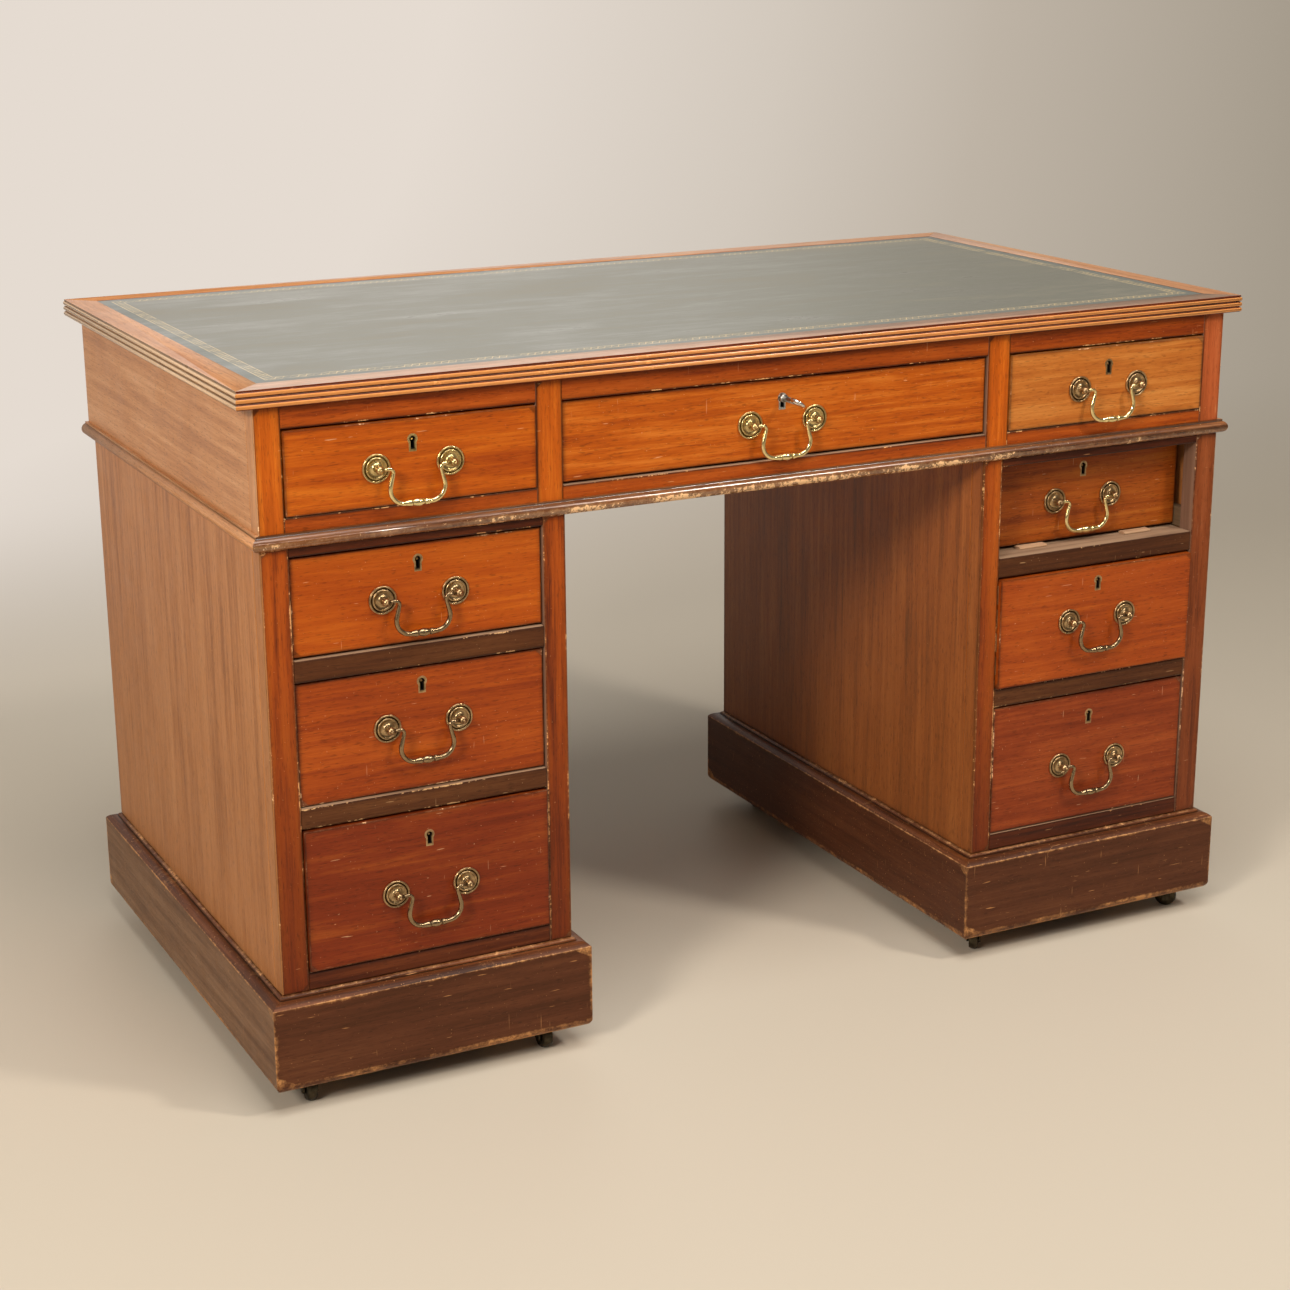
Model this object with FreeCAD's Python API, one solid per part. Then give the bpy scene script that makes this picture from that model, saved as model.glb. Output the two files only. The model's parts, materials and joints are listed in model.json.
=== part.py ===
import FreeCAD, Part

import math
import os
from collections import namedtuple

# Twin pedestal writing desk with a leather top: a top section with three drawers in its
# frieze stands on two pedestals of three drawers each, and each pedestal has a plinth on
# four castors. Millimetres, +Z up. X runs along the desk and the drawers face -Y. The
# origin is on the floor, in the middle of the whole desk with its key.

V = FreeCAD.Vector

# ---------------------------------------------------------------- driving dimensions

# Top
TOP_WIDTH = 1220.0
TOP_DEPTH = 648.0
TOP_THICK = 19.5
TOP_SIDE_OVERHANG = 18.5
TOP_FRONT_OVERHANG = 9.0
TOP_BACK_OVERHANG = 6.0
LIPPING_WIDTH = 32.0
LEATHER_THICK = 1.2
LEATHER_SET = 0.3
REED_COUNT = 3
REED_DEPTH = 2.6
TOP_FILLET_HEIGHT = 1.3
TOP_FILLET_SET = 1.2

# Front frames and boards
FRAME_THICK = 22.0
RAIL_DEPTH = 60.0
SIDE_THICK = 18.0
BACK_THICK = 12.0
PARTITION_THICK = 20.0
TENON_THICK = 8.0
TENON_LENGTH = 12.0
TENON_SHOULDER = 3.0

# Frieze, from the bottom up
FRIEZE_BOTTOM_RAIL = 29.8
FRIEZE_OPENING = 89.0
FRIEZE_TOP_RAIL = 23.4
FRIEZE_END_STILE = 28.0
FRIEZE_MIDDLE_STILE = 29.5
CENTRE_OPENING = 524.0
WAIST_HEIGHT = 15.5
WAIST_PROJECTION = 9.0
WAIST_FILLET_HEIGHT = 2.2
WAIST_FILLET_SET = 5.0

# Pedestals, from the bottom up
KNEEHOLE_WIDTH = 521.0
PEDESTAL_SETBACK = 24.0
INNER_STILE = 26.0
OUTER_STILE = 30.0
BOTTOM_RAIL = 20.2
LOWER_OPENING = 157.8
LOWER_DIVIDER = 22.4
MIDDLE_OPENING = 133.7
UPPER_DIVIDER = 23.6
UPPER_OPENING = 106.9
TOP_RAIL = 10.6
BOTTOM_BOARD = 18.0

# Plinths
PLINTH_GAP = 28.0
PLINTH_HEIGHT = 103.1
PLINTH_PROJECTION = 16.0
PLINTH_THICK = 22.0
PLINTH_SLOPE_HEIGHT = 5.2
PLINTH_SLOPE_WIDTH = 10.5
PLINTH_BEAD = 3.4
PLINTH_FOOT_RADIUS = 9.0
BLOCK_SIZE = 74.0
BLOCK_HEIGHT = 30.0

# Drawer runners, guides and stops
RUNNER_HEIGHT = 20.0
RUNNER_BEARING = 14.0
GUIDE_HEIGHT = 24.0
STOP_WIDTH = 38.0
STOP_DEPTH = 12.0
STOP_HEIGHT = 3.0
STOP_SPACING = 150.0
STOP_RECESS = 1.0
DEEP_STOP_RECESS = 4.0
DOWEL_BLOCK = 44.0
DOWEL_BLOCK_HEIGHT = 8.0

# Drawers
DRAWER_BACK_SPACE = 47.0
FRONT_THICK = 20.0
DRAWER_SIDE = 10.0
DRAWER_BACK = 10.0
DRAWER_BOTTOM = 6.0
BOTTOM_RAISE = 8.0
GROOVE_DEPTH = 4.0
SIDE_DROP = 4.0
BACK_DROP = 9.0
DOVETAIL_LAP = 6.0
DOVETAIL_PITCH = 31.0
DOVETAIL_PIN = 6.0
DOVETAIL_SLOPE = 6.0

# Clearances
SIDE_GAP = 1.0
TOP_GAP = 2.0
RUNNING_GAP = 0.3
STOP_GAP = 0.3
PIVOT_GAP = 0.08

# Swan-neck handles, and their heights above the rail
FRIEZE_HANDLE_HEIGHT = 40.5
UPPER_HANDLE_HEIGHT = 50.3
LOWER_HANDLE_HEIGHT = 70.7
HANDLE_CENTRES = 79.5
ROSETTE_DIAMETER = 30.0
ROSETTE_THICK = 2.8
POST_REACH = 10.5
BALL_DIAMETER = 8.4
FINIAL_LENGTH = 1.6
BOLT_DIAMETER = 4.2
NUT_SIZE = 9.0
NUT_THICK = 3.0
PIN_DIAMETER = 3.2
PIN_DEPTH = 3.0
NECK_DIAMETER = 3.9
BOWL_DIAMETER = 5.2
BAIL_DROP = 36.5
BAIL_SHOULDER = 6.0
NECK_RADIUS = 4.2
NECK_RUN = 12.5
NECK_SLANT = 15.0
GRIP_DIAMETER = 8.4
GRIP_LENGTH = 15.0
LEAF_DIAMETER = 7.4
LEAF_LENGTH = 6.5
LEAF_STEP = 1.1

# Locks, escutcheons and the key; the keyholes' heights are above the rail
FRIEZE_KEY_HEIGHT = 66.3
UPPER_KEY_HEIGHT = 88.2
MIDDLE_KEY_HEIGHT = 116.0
LOWER_KEY_HEIGHT = 130.0
KEYHOLE_RADIUS = 3.2
KEYHOLE_LENGTH = 13.5
KEYHOLE_SLOT = 4.4
ESCUTCHEON_WALL = 2.4
ESCUTCHEON_THICK = 2.0
LOCK_WIDTH = 50.0
LOCK_DEPTH = 9.0
LOCK_BELOW_KEY = 14.0
LOCK_PLATE_WIDTH = 64.0
LOCK_PLATE_THICK = 2.0
KEY_CHAMBER_RADIUS = 10.0
KEY_CHAMBER_DEPTH = 7.0
DRILL_PIN = 2.6
BOLT_WIDTH = 14.0
BOLT_THICK = 4.0
BOLT_TRAVEL = 7.0
KEY_SHANK = 5.6
KEY_BORE = 3.0
KEY_OUT = 42.0
BOW_RADIUS = 7.2
BOW_WIRE = 3.6
BIT_RADIUS = 8.6
BIT_WIDTH = 4.0
BIT_THICK = 2.2
KEY_TURN = 56.0
KEY_COLLAR = 8.8

# Castors
CASTOR_INSET = 46.0
CASTOR_TRAIL = 14.0
WHEEL_DIAMETER = 27.0
WHEEL_WIDTH = 10.0
WHEEL_CROWN = 1.2
AXLE_DIAMETER = 4.0
FORK_ARM = 2.6
FORK_GAP = 0.8
FORK_TOP = 2.6
FORK_RADIUS = 11.0
PLATE_DIAMETER = 36.0
PLATE_THICK = 2.6
PIVOT_DIAMETER = 8.0
CROWN_CLEARANCE = 2.2

# Where each drawer stands: the recess of its face behind the frame, the recess at which
# its stops hold it, the lift of its front above the rail, and the heights of its handle
# and its key. The upper right drawer has gone in past its worn stops.
Fit = namedtuple("Fit", "recess stop lift handle key")
FITS = {
    "frieze_left": Fit(-1.5, STOP_RECESS, 1.2, FRIEZE_HANDLE_HEIGHT, FRIEZE_KEY_HEIGHT),
    "frieze_centre": Fit(DEEP_STOP_RECESS, DEEP_STOP_RECESS, 2.4, FRIEZE_HANDLE_HEIGHT,
                         FRIEZE_KEY_HEIGHT),
    "frieze_right": Fit(-1.5, STOP_RECESS, 1.2, FRIEZE_HANDLE_HEIGHT, FRIEZE_KEY_HEIGHT),
    "left_upper": Fit(DEEP_STOP_RECESS, DEEP_STOP_RECESS, 2.4, UPPER_HANDLE_HEIGHT,
                      UPPER_KEY_HEIGHT),
    "left_middle": Fit(DEEP_STOP_RECESS, DEEP_STOP_RECESS, 1.2, LOWER_HANDLE_HEIGHT,
                       MIDDLE_KEY_HEIGHT),
    "left_lower": Fit(-3.0, STOP_RECESS, 1.2, LOWER_HANDLE_HEIGHT, LOWER_KEY_HEIGHT),
    "right_upper": Fit(33.0, STOP_RECESS, 3.4, UPPER_HANDLE_HEIGHT, UPPER_KEY_HEIGHT),
    "right_middle": Fit(-5.0, STOP_RECESS, 1.2, LOWER_HANDLE_HEIGHT, MIDDLE_KEY_HEIGHT),
    "right_lower": Fit(STOP_RECESS, STOP_RECESS, 1.2, LOWER_HANDLE_HEIGHT,
                       LOWER_KEY_HEIGHT),
}

# Headings in which the castor wheels trail, in degrees from +X.
CASTOR_HEADINGS = {
    "left_front_outer": -92.0,
    "left_front_inner": -86.0,
    "left_back_outer": -78.0,
    "left_back_inner": -101.0,
    "right_front_inner": -128.0,
    "right_front_outer": -50.0,
    "right_back_inner": -96.0,
    "right_back_outer": -70.0,
}

# ---------------------------------------------------------------- derived places

CASE_HALF = TOP_WIDTH / 2.0 - TOP_SIDE_OVERHANG
CASE_DEPTH = TOP_DEPTH - TOP_FRONT_OVERHANG - TOP_BACK_OVERHANG
KNEE_HALF = KNEEHOLE_WIDTH / 2.0
CENTRE_HALF = CENTRE_OPENING / 2.0

KEY_REACH = KEY_OUT - FITS["frieze_centre"].recess
FRONT_Y = -(CASE_DEPTH + TOP_BACK_OVERHANG - KEY_REACH) / 2.0
CASE_BACK_Y = FRONT_Y + CASE_DEPTH
PEDESTAL_BACK_Y = CASE_BACK_Y - PEDESTAL_SETBACK
TOP_FRONT_Y = FRONT_Y - TOP_FRONT_OVERHANG
TOP_BACK_Y = TOP_FRONT_Y + TOP_DEPTH

PEDESTAL_Z = PLINTH_GAP + PLINTH_HEIGHT
LOWER_FLOOR = PEDESTAL_Z + BOTTOM_RAIL
MIDDLE_FLOOR = LOWER_FLOOR + LOWER_OPENING + LOWER_DIVIDER
UPPER_FLOOR = MIDDLE_FLOOR + MIDDLE_OPENING + UPPER_DIVIDER
FRIEZE_Z = UPPER_FLOOR + UPPER_OPENING + TOP_RAIL
FRIEZE_FLOOR = FRIEZE_Z + FRIEZE_BOTTOM_RAIL
TOP_Z = FRIEZE_FLOOR + FRIEZE_OPENING + FRIEZE_TOP_RAIL

DRAWER_LENGTH = PEDESTAL_BACK_Y - BACK_THICK - FRONT_Y - DRAWER_BACK_SPACE

MIDDLE_STILE_X = CENTRE_HALF + FRIEZE_MIDDLE_STILE / 2.0
PARTITION_FACE_IN = MIDDLE_STILE_X - PARTITION_THICK / 2.0
PARTITION_FACE_OUT = MIDDLE_STILE_X + PARTITION_THICK / 2.0
CASE_INSIDE = CASE_HALF - SIDE_THICK

# A bay is one drawer's opening: its sides, its floor and height, and the wall faces
# beside it that carry the runners.
Bay = namedtuple("Bay", "name x0 x1 floor height wall0 wall1")


def mirrored(bay, name):
    return Bay(name, -bay.x1, -bay.x0, bay.floor, bay.height, -bay.wall1, -bay.wall0)


def make_bays():
    frieze_right = Bay("frieze_right", CENTRE_HALF + FRIEZE_MIDDLE_STILE,
                       CASE_HALF - FRIEZE_END_STILE, FRIEZE_FLOOR, FRIEZE_OPENING,
                       PARTITION_FACE_OUT, CASE_INSIDE)
    bays = [
        mirrored(frieze_right, "frieze_left"),
        Bay("frieze_centre", -CENTRE_HALF, CENTRE_HALF, FRIEZE_FLOOR, FRIEZE_OPENING,
            -PARTITION_FACE_IN, PARTITION_FACE_IN),
        frieze_right,
    ]
    rows = [
        ("upper", UPPER_FLOOR, UPPER_OPENING),
        ("middle", MIDDLE_FLOOR, MIDDLE_OPENING),
        ("lower", LOWER_FLOOR, LOWER_OPENING),
    ]
    for row, floor, height in rows:
        right = Bay("right_" + row, KNEE_HALF + INNER_STILE, CASE_HALF - OUTER_STILE,
                    floor, height, KNEE_HALF + SIDE_THICK, CASE_INSIDE)
        bays.append(mirrored(right, "left_" + row))
        bays.append(right)
    return bays


BAYS = make_bays()


# ---------------------------------------------------------------- shape helpers

def box(x0, x1, y0, y1, z0, z1):
    low = V(min(x0, x1), min(y0, y1), min(z0, z1))
    return Part.makeBox(abs(x1 - x0), abs(y1 - y0), abs(z1 - z0), low)


def cylinder(radius, start, end):
    axis = end - start
    return Part.makeCylinder(radius, axis.Length, start, axis)


def prism(points, along):
    """A closed outline of points, extruded along a vector."""
    return Part.Face(Part.makePolygon(points + [points[0]])).extrude(along)


def outline_edges(steps, place):
    """Edges through steps of (u, z), or (u, z, u, z) for an arc's middle and end."""
    edges = []
    start = place(*steps[0])
    for step in steps[1:]:
        end = place(*step[-2:])
        if len(step) == 2:
            edges.append(Part.makeLine(start, end))
        else:
            edges.append(Part.Arc(start, place(*step[:2]), end).toShape())
        start = end
    return edges


def revolved(steps, place, centre, axis):
    """A turned solid: the profile's steps closed on themselves and spun about an axis."""
    edges = outline_edges(steps + [steps[0]], place)
    return Part.Face(Part.Wire(edges)).revolve(centre, axis, 360.0)


def ring(x0, x1, y0, y1, edge, width):
    """Four mitred boards of one width round a rectangle, with a moulded outer edge.

    The edge's steps start at the bottom, each a distance in from the outer face and a
    height.
    """
    z0 = edge[0][1]
    z1 = edge[-1][-1]
    outer = [V(x0, y0, 0), V(x1, y0, 0), V(x1, y1, 0), V(x0, y1, 0)]
    diagonals = [V(width, width, 0), V(-width, width, 0), V(-width, -width, 0),
                 V(width, -width, 0)]
    boards = []
    for i in range(4):
        j = (i + 1) % 4
        along = outer[j] - outer[i]
        ahead = along / along.Length
        inward = V(-ahead.y, ahead.x, 0)
        start = outer[i] - ahead * width

        def place(u, z):
            return start + inward * u + V(0, 0, z)

        profile = outline_edges(edge + [(width, z1), (width, z0), edge[0]], place)
        bar = Part.Face(Part.Wire(profile)).extrude(along + ahead * width * 2.0)
        # The mitres run past both corners, so that they cut the bar cleanly.
        wedge = prism([outer[i] - diagonals[i], outer[j] - diagonals[j],
                       outer[j] + diagonals[j] * 2.0, outer[i] + diagonals[i] * 2.0],
                      V(0, 0, z1 * 2.0))
        boards.append(bar.common(wedge))
    return boards


def front_frame(stiles, rails):
    """Stiles (x0, x1, z0, z1) and rails (x0, x1, z0, z1, depth), joined by tenons."""
    y0 = FRONT_Y + (FRAME_THICK - TENON_THICK) / 2.0
    y1 = y0 + TENON_THICK
    tenons = []
    boards = []
    for x0, x1, z0, z1, depth in rails:
        rail = box(x0, x1, FRONT_Y, FRONT_Y + depth, z0, z1)
        for start, end in ((x0 - TENON_LENGTH, x0), (x1, x1 + TENON_LENGTH)):
            tenon = box(start, end, y0, y1, z0 + TENON_SHOULDER, z1 - TENON_SHOULDER)
            tenons.append(tenon)
            rail = rail.fuse(tenon)
        boards.append(rail.removeSplitter())
    for x0, x1, z0, z1 in stiles:
        stile = box(x0, x1, FRONT_Y, FRONT_Y + FRAME_THICK, z0, z1)
        boards.append(stile.cut(tenons))
    return boards


# ---------------------------------------------------------------- top section

def reeded_edge():
    """The top's edge: reeds stacked under a small fillet, from the underside up."""
    reed = (TOP_THICK - TOP_FILLET_HEIGHT) / REED_COUNT
    steps = [(REED_DEPTH, TOP_Z)]
    for i in range(REED_COUNT):
        foot = TOP_Z + i * reed
        steps.append((0.0, foot + reed / 2.0, REED_DEPTH, foot + reed))
    steps.append((TOP_FILLET_SET, TOP_Z + TOP_THICK - TOP_FILLET_HEIGHT))
    steps.append((TOP_FILLET_SET, TOP_Z + TOP_THICK))
    return steps


def top_lipping():
    return ring(-TOP_WIDTH / 2.0, TOP_WIDTH / 2.0, TOP_FRONT_Y, TOP_BACK_Y,
                reeded_edge(), LIPPING_WIDTH)


def inside_lipping(z0, z1):
    half = TOP_WIDTH / 2.0 - LIPPING_WIDTH
    return box(-half, half, TOP_FRONT_Y + LIPPING_WIDTH, TOP_BACK_Y - LIPPING_WIDTH, z0, z1)


def top_panel():
    return [inside_lipping(TOP_Z, TOP_Z + TOP_THICK - LEATHER_SET - LEATHER_THICK)]


def writing_leather():
    top = TOP_Z + TOP_THICK - LEATHER_SET
    return [inside_lipping(top - LEATHER_THICK, top)]


def frieze_front_frame():
    floor = FRIEZE_FLOOR
    ceiling = FRIEZE_FLOOR + FRIEZE_OPENING
    rails = []
    for bay in BAYS[:3]:
        rails.append((bay.x0, bay.x1, FRIEZE_Z, floor, RAIL_DEPTH))
        rails.append((bay.x0, bay.x1, ceiling, TOP_Z, FRAME_THICK))
    end = CASE_HALF - FRIEZE_END_STILE
    middle = CENTRE_HALF + FRIEZE_MIDDLE_STILE
    stiles = []
    for x0, x1 in ((-CASE_HALF, -end), (-middle, -CENTRE_HALF),
                   (CENTRE_HALF, middle), (end, CASE_HALF)):
        stiles.append((x0, x1, FRIEZE_Z, TOP_Z))
    boards = front_frame(stiles, rails)
    return [board.cut(bolt_mortise()) for board in boards]


def bolt_mortise():
    """The slot in the rail above the centre drawer that its lock bolt rises into."""
    half = BOLT_WIDTH / 2.0 + SIDE_GAP
    y = FRONT_Y + FITS["frieze_centre"].recess + bolt_face()
    z = FRIEZE_FLOOR + FRIEZE_OPENING
    return box(-half, half, y - SIDE_GAP, y + BOLT_THICK + SIDE_GAP,
               z - 1.0, z + BOLT_TRAVEL + SIDE_GAP)


def frieze_ends():
    boards = []
    for side in (-1.0, 1.0):
        boards.append(box(side * CASE_INSIDE, side * CASE_HALF, FRONT_Y + FRAME_THICK,
                          CASE_BACK_Y, FRIEZE_Z, TOP_Z))
    return boards


def waist_moulding():
    """A half-round bead with a fillet on top, mitred round the front and both ends."""
    x = CASE_HALF + WAIST_PROJECTION
    y0 = FRONT_Y - WAIST_PROJECTION
    round_top = FRIEZE_Z + WAIST_HEIGHT - WAIST_FILLET_HEIGHT
    steps = [
        (WAIST_FILLET_SET, FRIEZE_Z),
        (0.0, (FRIEZE_Z + round_top) / 2.0, WAIST_FILLET_SET, round_top),
        (WAIST_FILLET_SET, FRIEZE_Z + WAIST_HEIGHT),
    ]
    boards = ring(-x, x, y0, CASE_BACK_Y + WAIST_PROJECTION, steps, WAIST_PROJECTION)
    behind = box(-x, x, CASE_BACK_Y, CASE_BACK_Y + WAIST_PROJECTION + 1.0,
                 FRIEZE_Z - 1.0, FRIEZE_Z + WAIST_HEIGHT + 1.0)
    return [board.cut(behind) for board in boards[:2] + boards[3:]]


# ---------------------------------------------------------------- pedestals

def pedestal_case(side):
    """Two sides, a top and a bottom board, and the blocks that key the top section."""
    y0 = FRONT_Y + FRAME_THICK
    inner = side * (KNEE_HALF + SIDE_THICK)
    outer = side * CASE_INSIDE
    back = PEDESTAL_BACK_Y - BACK_THICK
    boards = [
        box(side * KNEE_HALF, inner, y0, PEDESTAL_BACK_Y, PEDESTAL_Z, FRIEZE_Z),
        box(outer, side * CASE_HALF, y0, PEDESTAL_BACK_Y, PEDESTAL_Z, FRIEZE_Z),
        box(inner, outer, y0, back, FRIEZE_Z - TOP_RAIL, FRIEZE_Z),
        box(inner, outer, y0, back, LOWER_FLOOR - BOTTOM_BOARD, LOWER_FLOOR),
    ]
    for y in (FRONT_Y + RAIL_DEPTH + RUNNING_GAP, back - DOWEL_BLOCK):
        key = side * (CASE_INSIDE - RUNNING_GAP)
        boards.append(box(key, key - side * DOWEL_BLOCK, y, y + DOWEL_BLOCK,
                          FRIEZE_Z, FRIEZE_Z + DOWEL_BLOCK_HEIGHT))
    return boards


def pedestal_front_frame(side):
    bays = [bay for bay in BAYS[3:] if bay.x0 * side > 0]
    x0 = bays[0].x0
    x1 = bays[0].x1
    case = sorted((side * KNEE_HALF, side * CASE_HALF))
    stiles = [
        (case[0], x0, PEDESTAL_Z, FRIEZE_Z),
        (x1, case[1], PEDESTAL_Z, FRIEZE_Z),
    ]
    rails = [
        (x0, x1, PEDESTAL_Z, LOWER_FLOOR, FRAME_THICK),
        (x0, x1, MIDDLE_FLOOR - LOWER_DIVIDER, MIDDLE_FLOOR, RAIL_DEPTH),
        (x0, x1, UPPER_FLOOR - UPPER_DIVIDER, UPPER_FLOOR, RAIL_DEPTH),
        (x0, x1, FRIEZE_Z - TOP_RAIL, FRIEZE_Z, FRAME_THICK),
    ]
    return front_frame(stiles, rails)


def back_panels():
    """The backs of the frieze and of the two pedestals, set between their sides."""
    boards = [box(-CASE_INSIDE, CASE_INSIDE, CASE_BACK_Y - BACK_THICK, CASE_BACK_Y,
                  FRIEZE_Z, TOP_Z)]
    for side in (-1.0, 1.0):
        boards.append(box(side * (KNEE_HALF + SIDE_THICK), side * CASE_INSIDE,
                          PEDESTAL_BACK_Y - BACK_THICK, PEDESTAL_BACK_Y,
                          LOWER_FLOOR - BOTTOM_BOARD, FRIEZE_Z))
    return boards


def plinth_extent(side):
    x0, x1 = sorted((side * (KNEE_HALF - PLINTH_PROJECTION),
                     side * (CASE_HALF + PLINTH_PROJECTION)))
    return x0, x1, FRONT_Y - PLINTH_PROJECTION, PEDESTAL_BACK_Y + PLINTH_PROJECTION


def plinth(side):
    """Four mitred boards with a sloped and beaded top edge, rounded at the foot."""
    x0, x1, y0, y1 = plinth_extent(side)
    foot = PLINTH_FOOT_RADIUS
    chord = foot * (1.0 - math.sqrt(0.5))
    slope_z = PEDESTAL_Z - PLINTH_BEAD - PLINTH_SLOPE_HEIGHT
    bead_z = PEDESTAL_Z - PLINTH_BEAD
    bead_set = PLINTH_SLOPE_WIDTH + (PLINTH_PROJECTION - PLINTH_SLOPE_WIDTH) * 0.35
    steps = [
        (foot, PLINTH_GAP),
        (chord, PLINTH_GAP + chord, 0.0, PLINTH_GAP + foot),
        (0.0, slope_z),
        (PLINTH_SLOPE_WIDTH * 0.42, slope_z + PLINTH_SLOPE_HEIGHT * 0.72,
         PLINTH_SLOPE_WIDTH, bead_z),
        (bead_set, bead_z),
        (bead_set + PLINTH_BEAD * 0.3, PEDESTAL_Z - PLINTH_BEAD * 0.3,
         PLINTH_PROJECTION, PEDESTAL_Z),
    ]
    boards = ring(x0, x1, y0, y1, steps, PLINTH_THICK)
    z = castor_plate_top()
    for x, y in castor_pivots(side):
        toward_x = x0 + PLINTH_THICK if x < (x0 + x1) / 2.0 else x1 - PLINTH_THICK
        toward_y = y0 + PLINTH_THICK if y < (y0 + y1) / 2.0 else y1 - PLINTH_THICK
        away_x = toward_x + math.copysign(BLOCK_SIZE, x - toward_x)
        away_y = toward_y + math.copysign(BLOCK_SIZE, y - toward_y)
        boards.append(box(toward_x, away_x, toward_y, away_y, z, z + BLOCK_HEIGHT))
    return boards


# ---------------------------------------------------------------- runners and stops

def drawer_runners():
    """Partitions, runners, guides, kickers and stops: what carries every drawer."""
    boards = []
    for side in (-1.0, 1.0):
        boards.append(box(side * PARTITION_FACE_IN, side * PARTITION_FACE_OUT,
                          FRONT_Y + FRAME_THICK, CASE_BACK_Y - BACK_THICK,
                          FRIEZE_Z, TOP_Z))
    for bay in BAYS:
        boards.extend(bay_runners(bay))
        boards.extend(bay_stops(bay))
    return notched(boards)


def bay_runners(bay):
    in_frieze = bay.name.startswith("frieze")
    back = (CASE_BACK_Y if in_frieze else PEDESTAL_BACK_Y) - BACK_THICK
    y0 = FRONT_Y + FRAME_THICK
    behind_rail = FRONT_Y + RAIL_DEPTH
    ceiling = bay.floor + bay.height
    boards = []
    for wall, edge, inward in ((bay.wall0, bay.x0, 1.0), (bay.wall1, bay.x1, -1.0)):
        bearing = edge + inward * RUNNER_BEARING
        boards.append(box(wall, edge, y0, back, bay.floor, bay.floor + GUIDE_HEIGHT))
        if bay.floor > LOWER_FLOOR:
            boards.append(box(wall, bearing, behind_rail, back,
                              bay.floor - RUNNER_HEIGHT, bay.floor))
        if in_frieze:
            boards.append(box(wall, bearing, y0, back, ceiling, TOP_Z))
    return boards


def bay_stops(bay):
    fit = FITS[bay.name]
    middle = (bay.x0 + bay.x1) / 2.0
    y = FRONT_Y + fit.stop + FRONT_THICK + STOP_GAP
    boards = []
    for side in (-1.0, 1.0):
        x = middle + side * STOP_SPACING / 2.0
        boards.append(box(x - STOP_WIDTH / 2.0, x + STOP_WIDTH / 2.0, y, y + STOP_DEPTH,
                          bay.floor, bay.floor + STOP_HEIGHT))
    return boards


def notched(boards):
    """The partitions stand in front of the rails' back parts, so they are cut round them."""
    rails = []
    for bay in BAYS[:3]:
        rails.append(box(bay.x0, bay.x1, FRONT_Y, FRONT_Y + RAIL_DEPTH,
                         FRIEZE_Z, FRIEZE_FLOOR))
    return [board.cut(rails) for board in boards[:2]] + boards[2:]


# ---------------------------------------------------------------- drawers

def tails(x0, x1, y_root, y_tip, z0, z1):
    """Dovetail tails of a drawer side: prisms that widen from their root to their tip."""
    count = max(2, round((z1 - z0) / DOVETAIL_PITCH))
    pitch = (z1 - z0) / count
    tip = (pitch - DOVETAIL_PIN) / 2.0
    root = tip - abs(y_tip - y_root) / DOVETAIL_SLOPE
    shapes = []
    for i in range(count):
        z = z0 + (i + 0.5) * pitch
        outline = [V(x0, y_root, z - root), V(x0, y_tip, z - tip),
                   V(x0, y_tip, z + tip), V(x0, y_root, z + root)]
        shapes.append(prism(outline, V(x1 - x0, 0, 0)))
    return shapes


def drawer_frame(bay):
    """Places of one drawer: half width, face, floor and top of the front."""
    half = (bay.x1 - bay.x0) / 2.0 - SIDE_GAP
    middle = (bay.x0 + bay.x1) / 2.0
    face = FRONT_Y + FITS[bay.name].recess
    return middle, half, face


def drawer(bay):
    """A dovetailed drawer: front, two sides, back and a bottom let into grooves."""
    middle, half, face = drawer_frame(bay)
    front_z0 = bay.floor + FITS[bay.name].lift
    front_z1 = bay.floor + bay.height - TOP_GAP
    side_z0 = bay.floor + RUNNING_GAP
    side_z1 = front_z1 - SIDE_DROP
    back_z1 = side_z1 - BACK_DROP
    y_lap = face + DOVETAIL_LAP
    y_inside = face + FRONT_THICK
    y_end = face + DRAWER_LENGTH
    y_back = y_end - DRAWER_BACK
    groove_z0 = bay.floor + BOTTOM_RAISE
    groove_z1 = groove_z0 + DRAWER_BOTTOM
    tail_z0 = groove_z1
    x_in = half - DRAWER_SIDE
    bottom = box(middle - x_in - GROOVE_DEPTH, middle + x_in + GROOVE_DEPTH,
                 y_inside - GROOVE_DEPTH, y_end, groove_z0, groove_z1)
    front = box(middle - half, middle + half, face, y_inside, front_z0, front_z1)
    back = box(middle - half, middle + half, y_back, y_end, groove_z1, back_z1)
    sides = []
    sockets = []
    for x0, x1 in ((middle - half, middle - x_in), (middle + x_in, middle + half)):
        front_tails = tails(x0, x1, y_inside, y_lap, tail_z0, side_z1)
        back_tails = tails(x0, x1, y_back, y_end, tail_z0, back_z1)
        board = box(x0, x1, y_inside, y_back, side_z0, side_z1)
        board = board.multiFuse(front_tails + back_tails).removeSplitter()
        sides.append(board.cut(bottom))
        sockets.extend(front_tails + back_tails)
    front = front.cut(sockets + [bottom] + front_cuts(bay))
    return [front, back.cut(sockets), bottom] + sides


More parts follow.
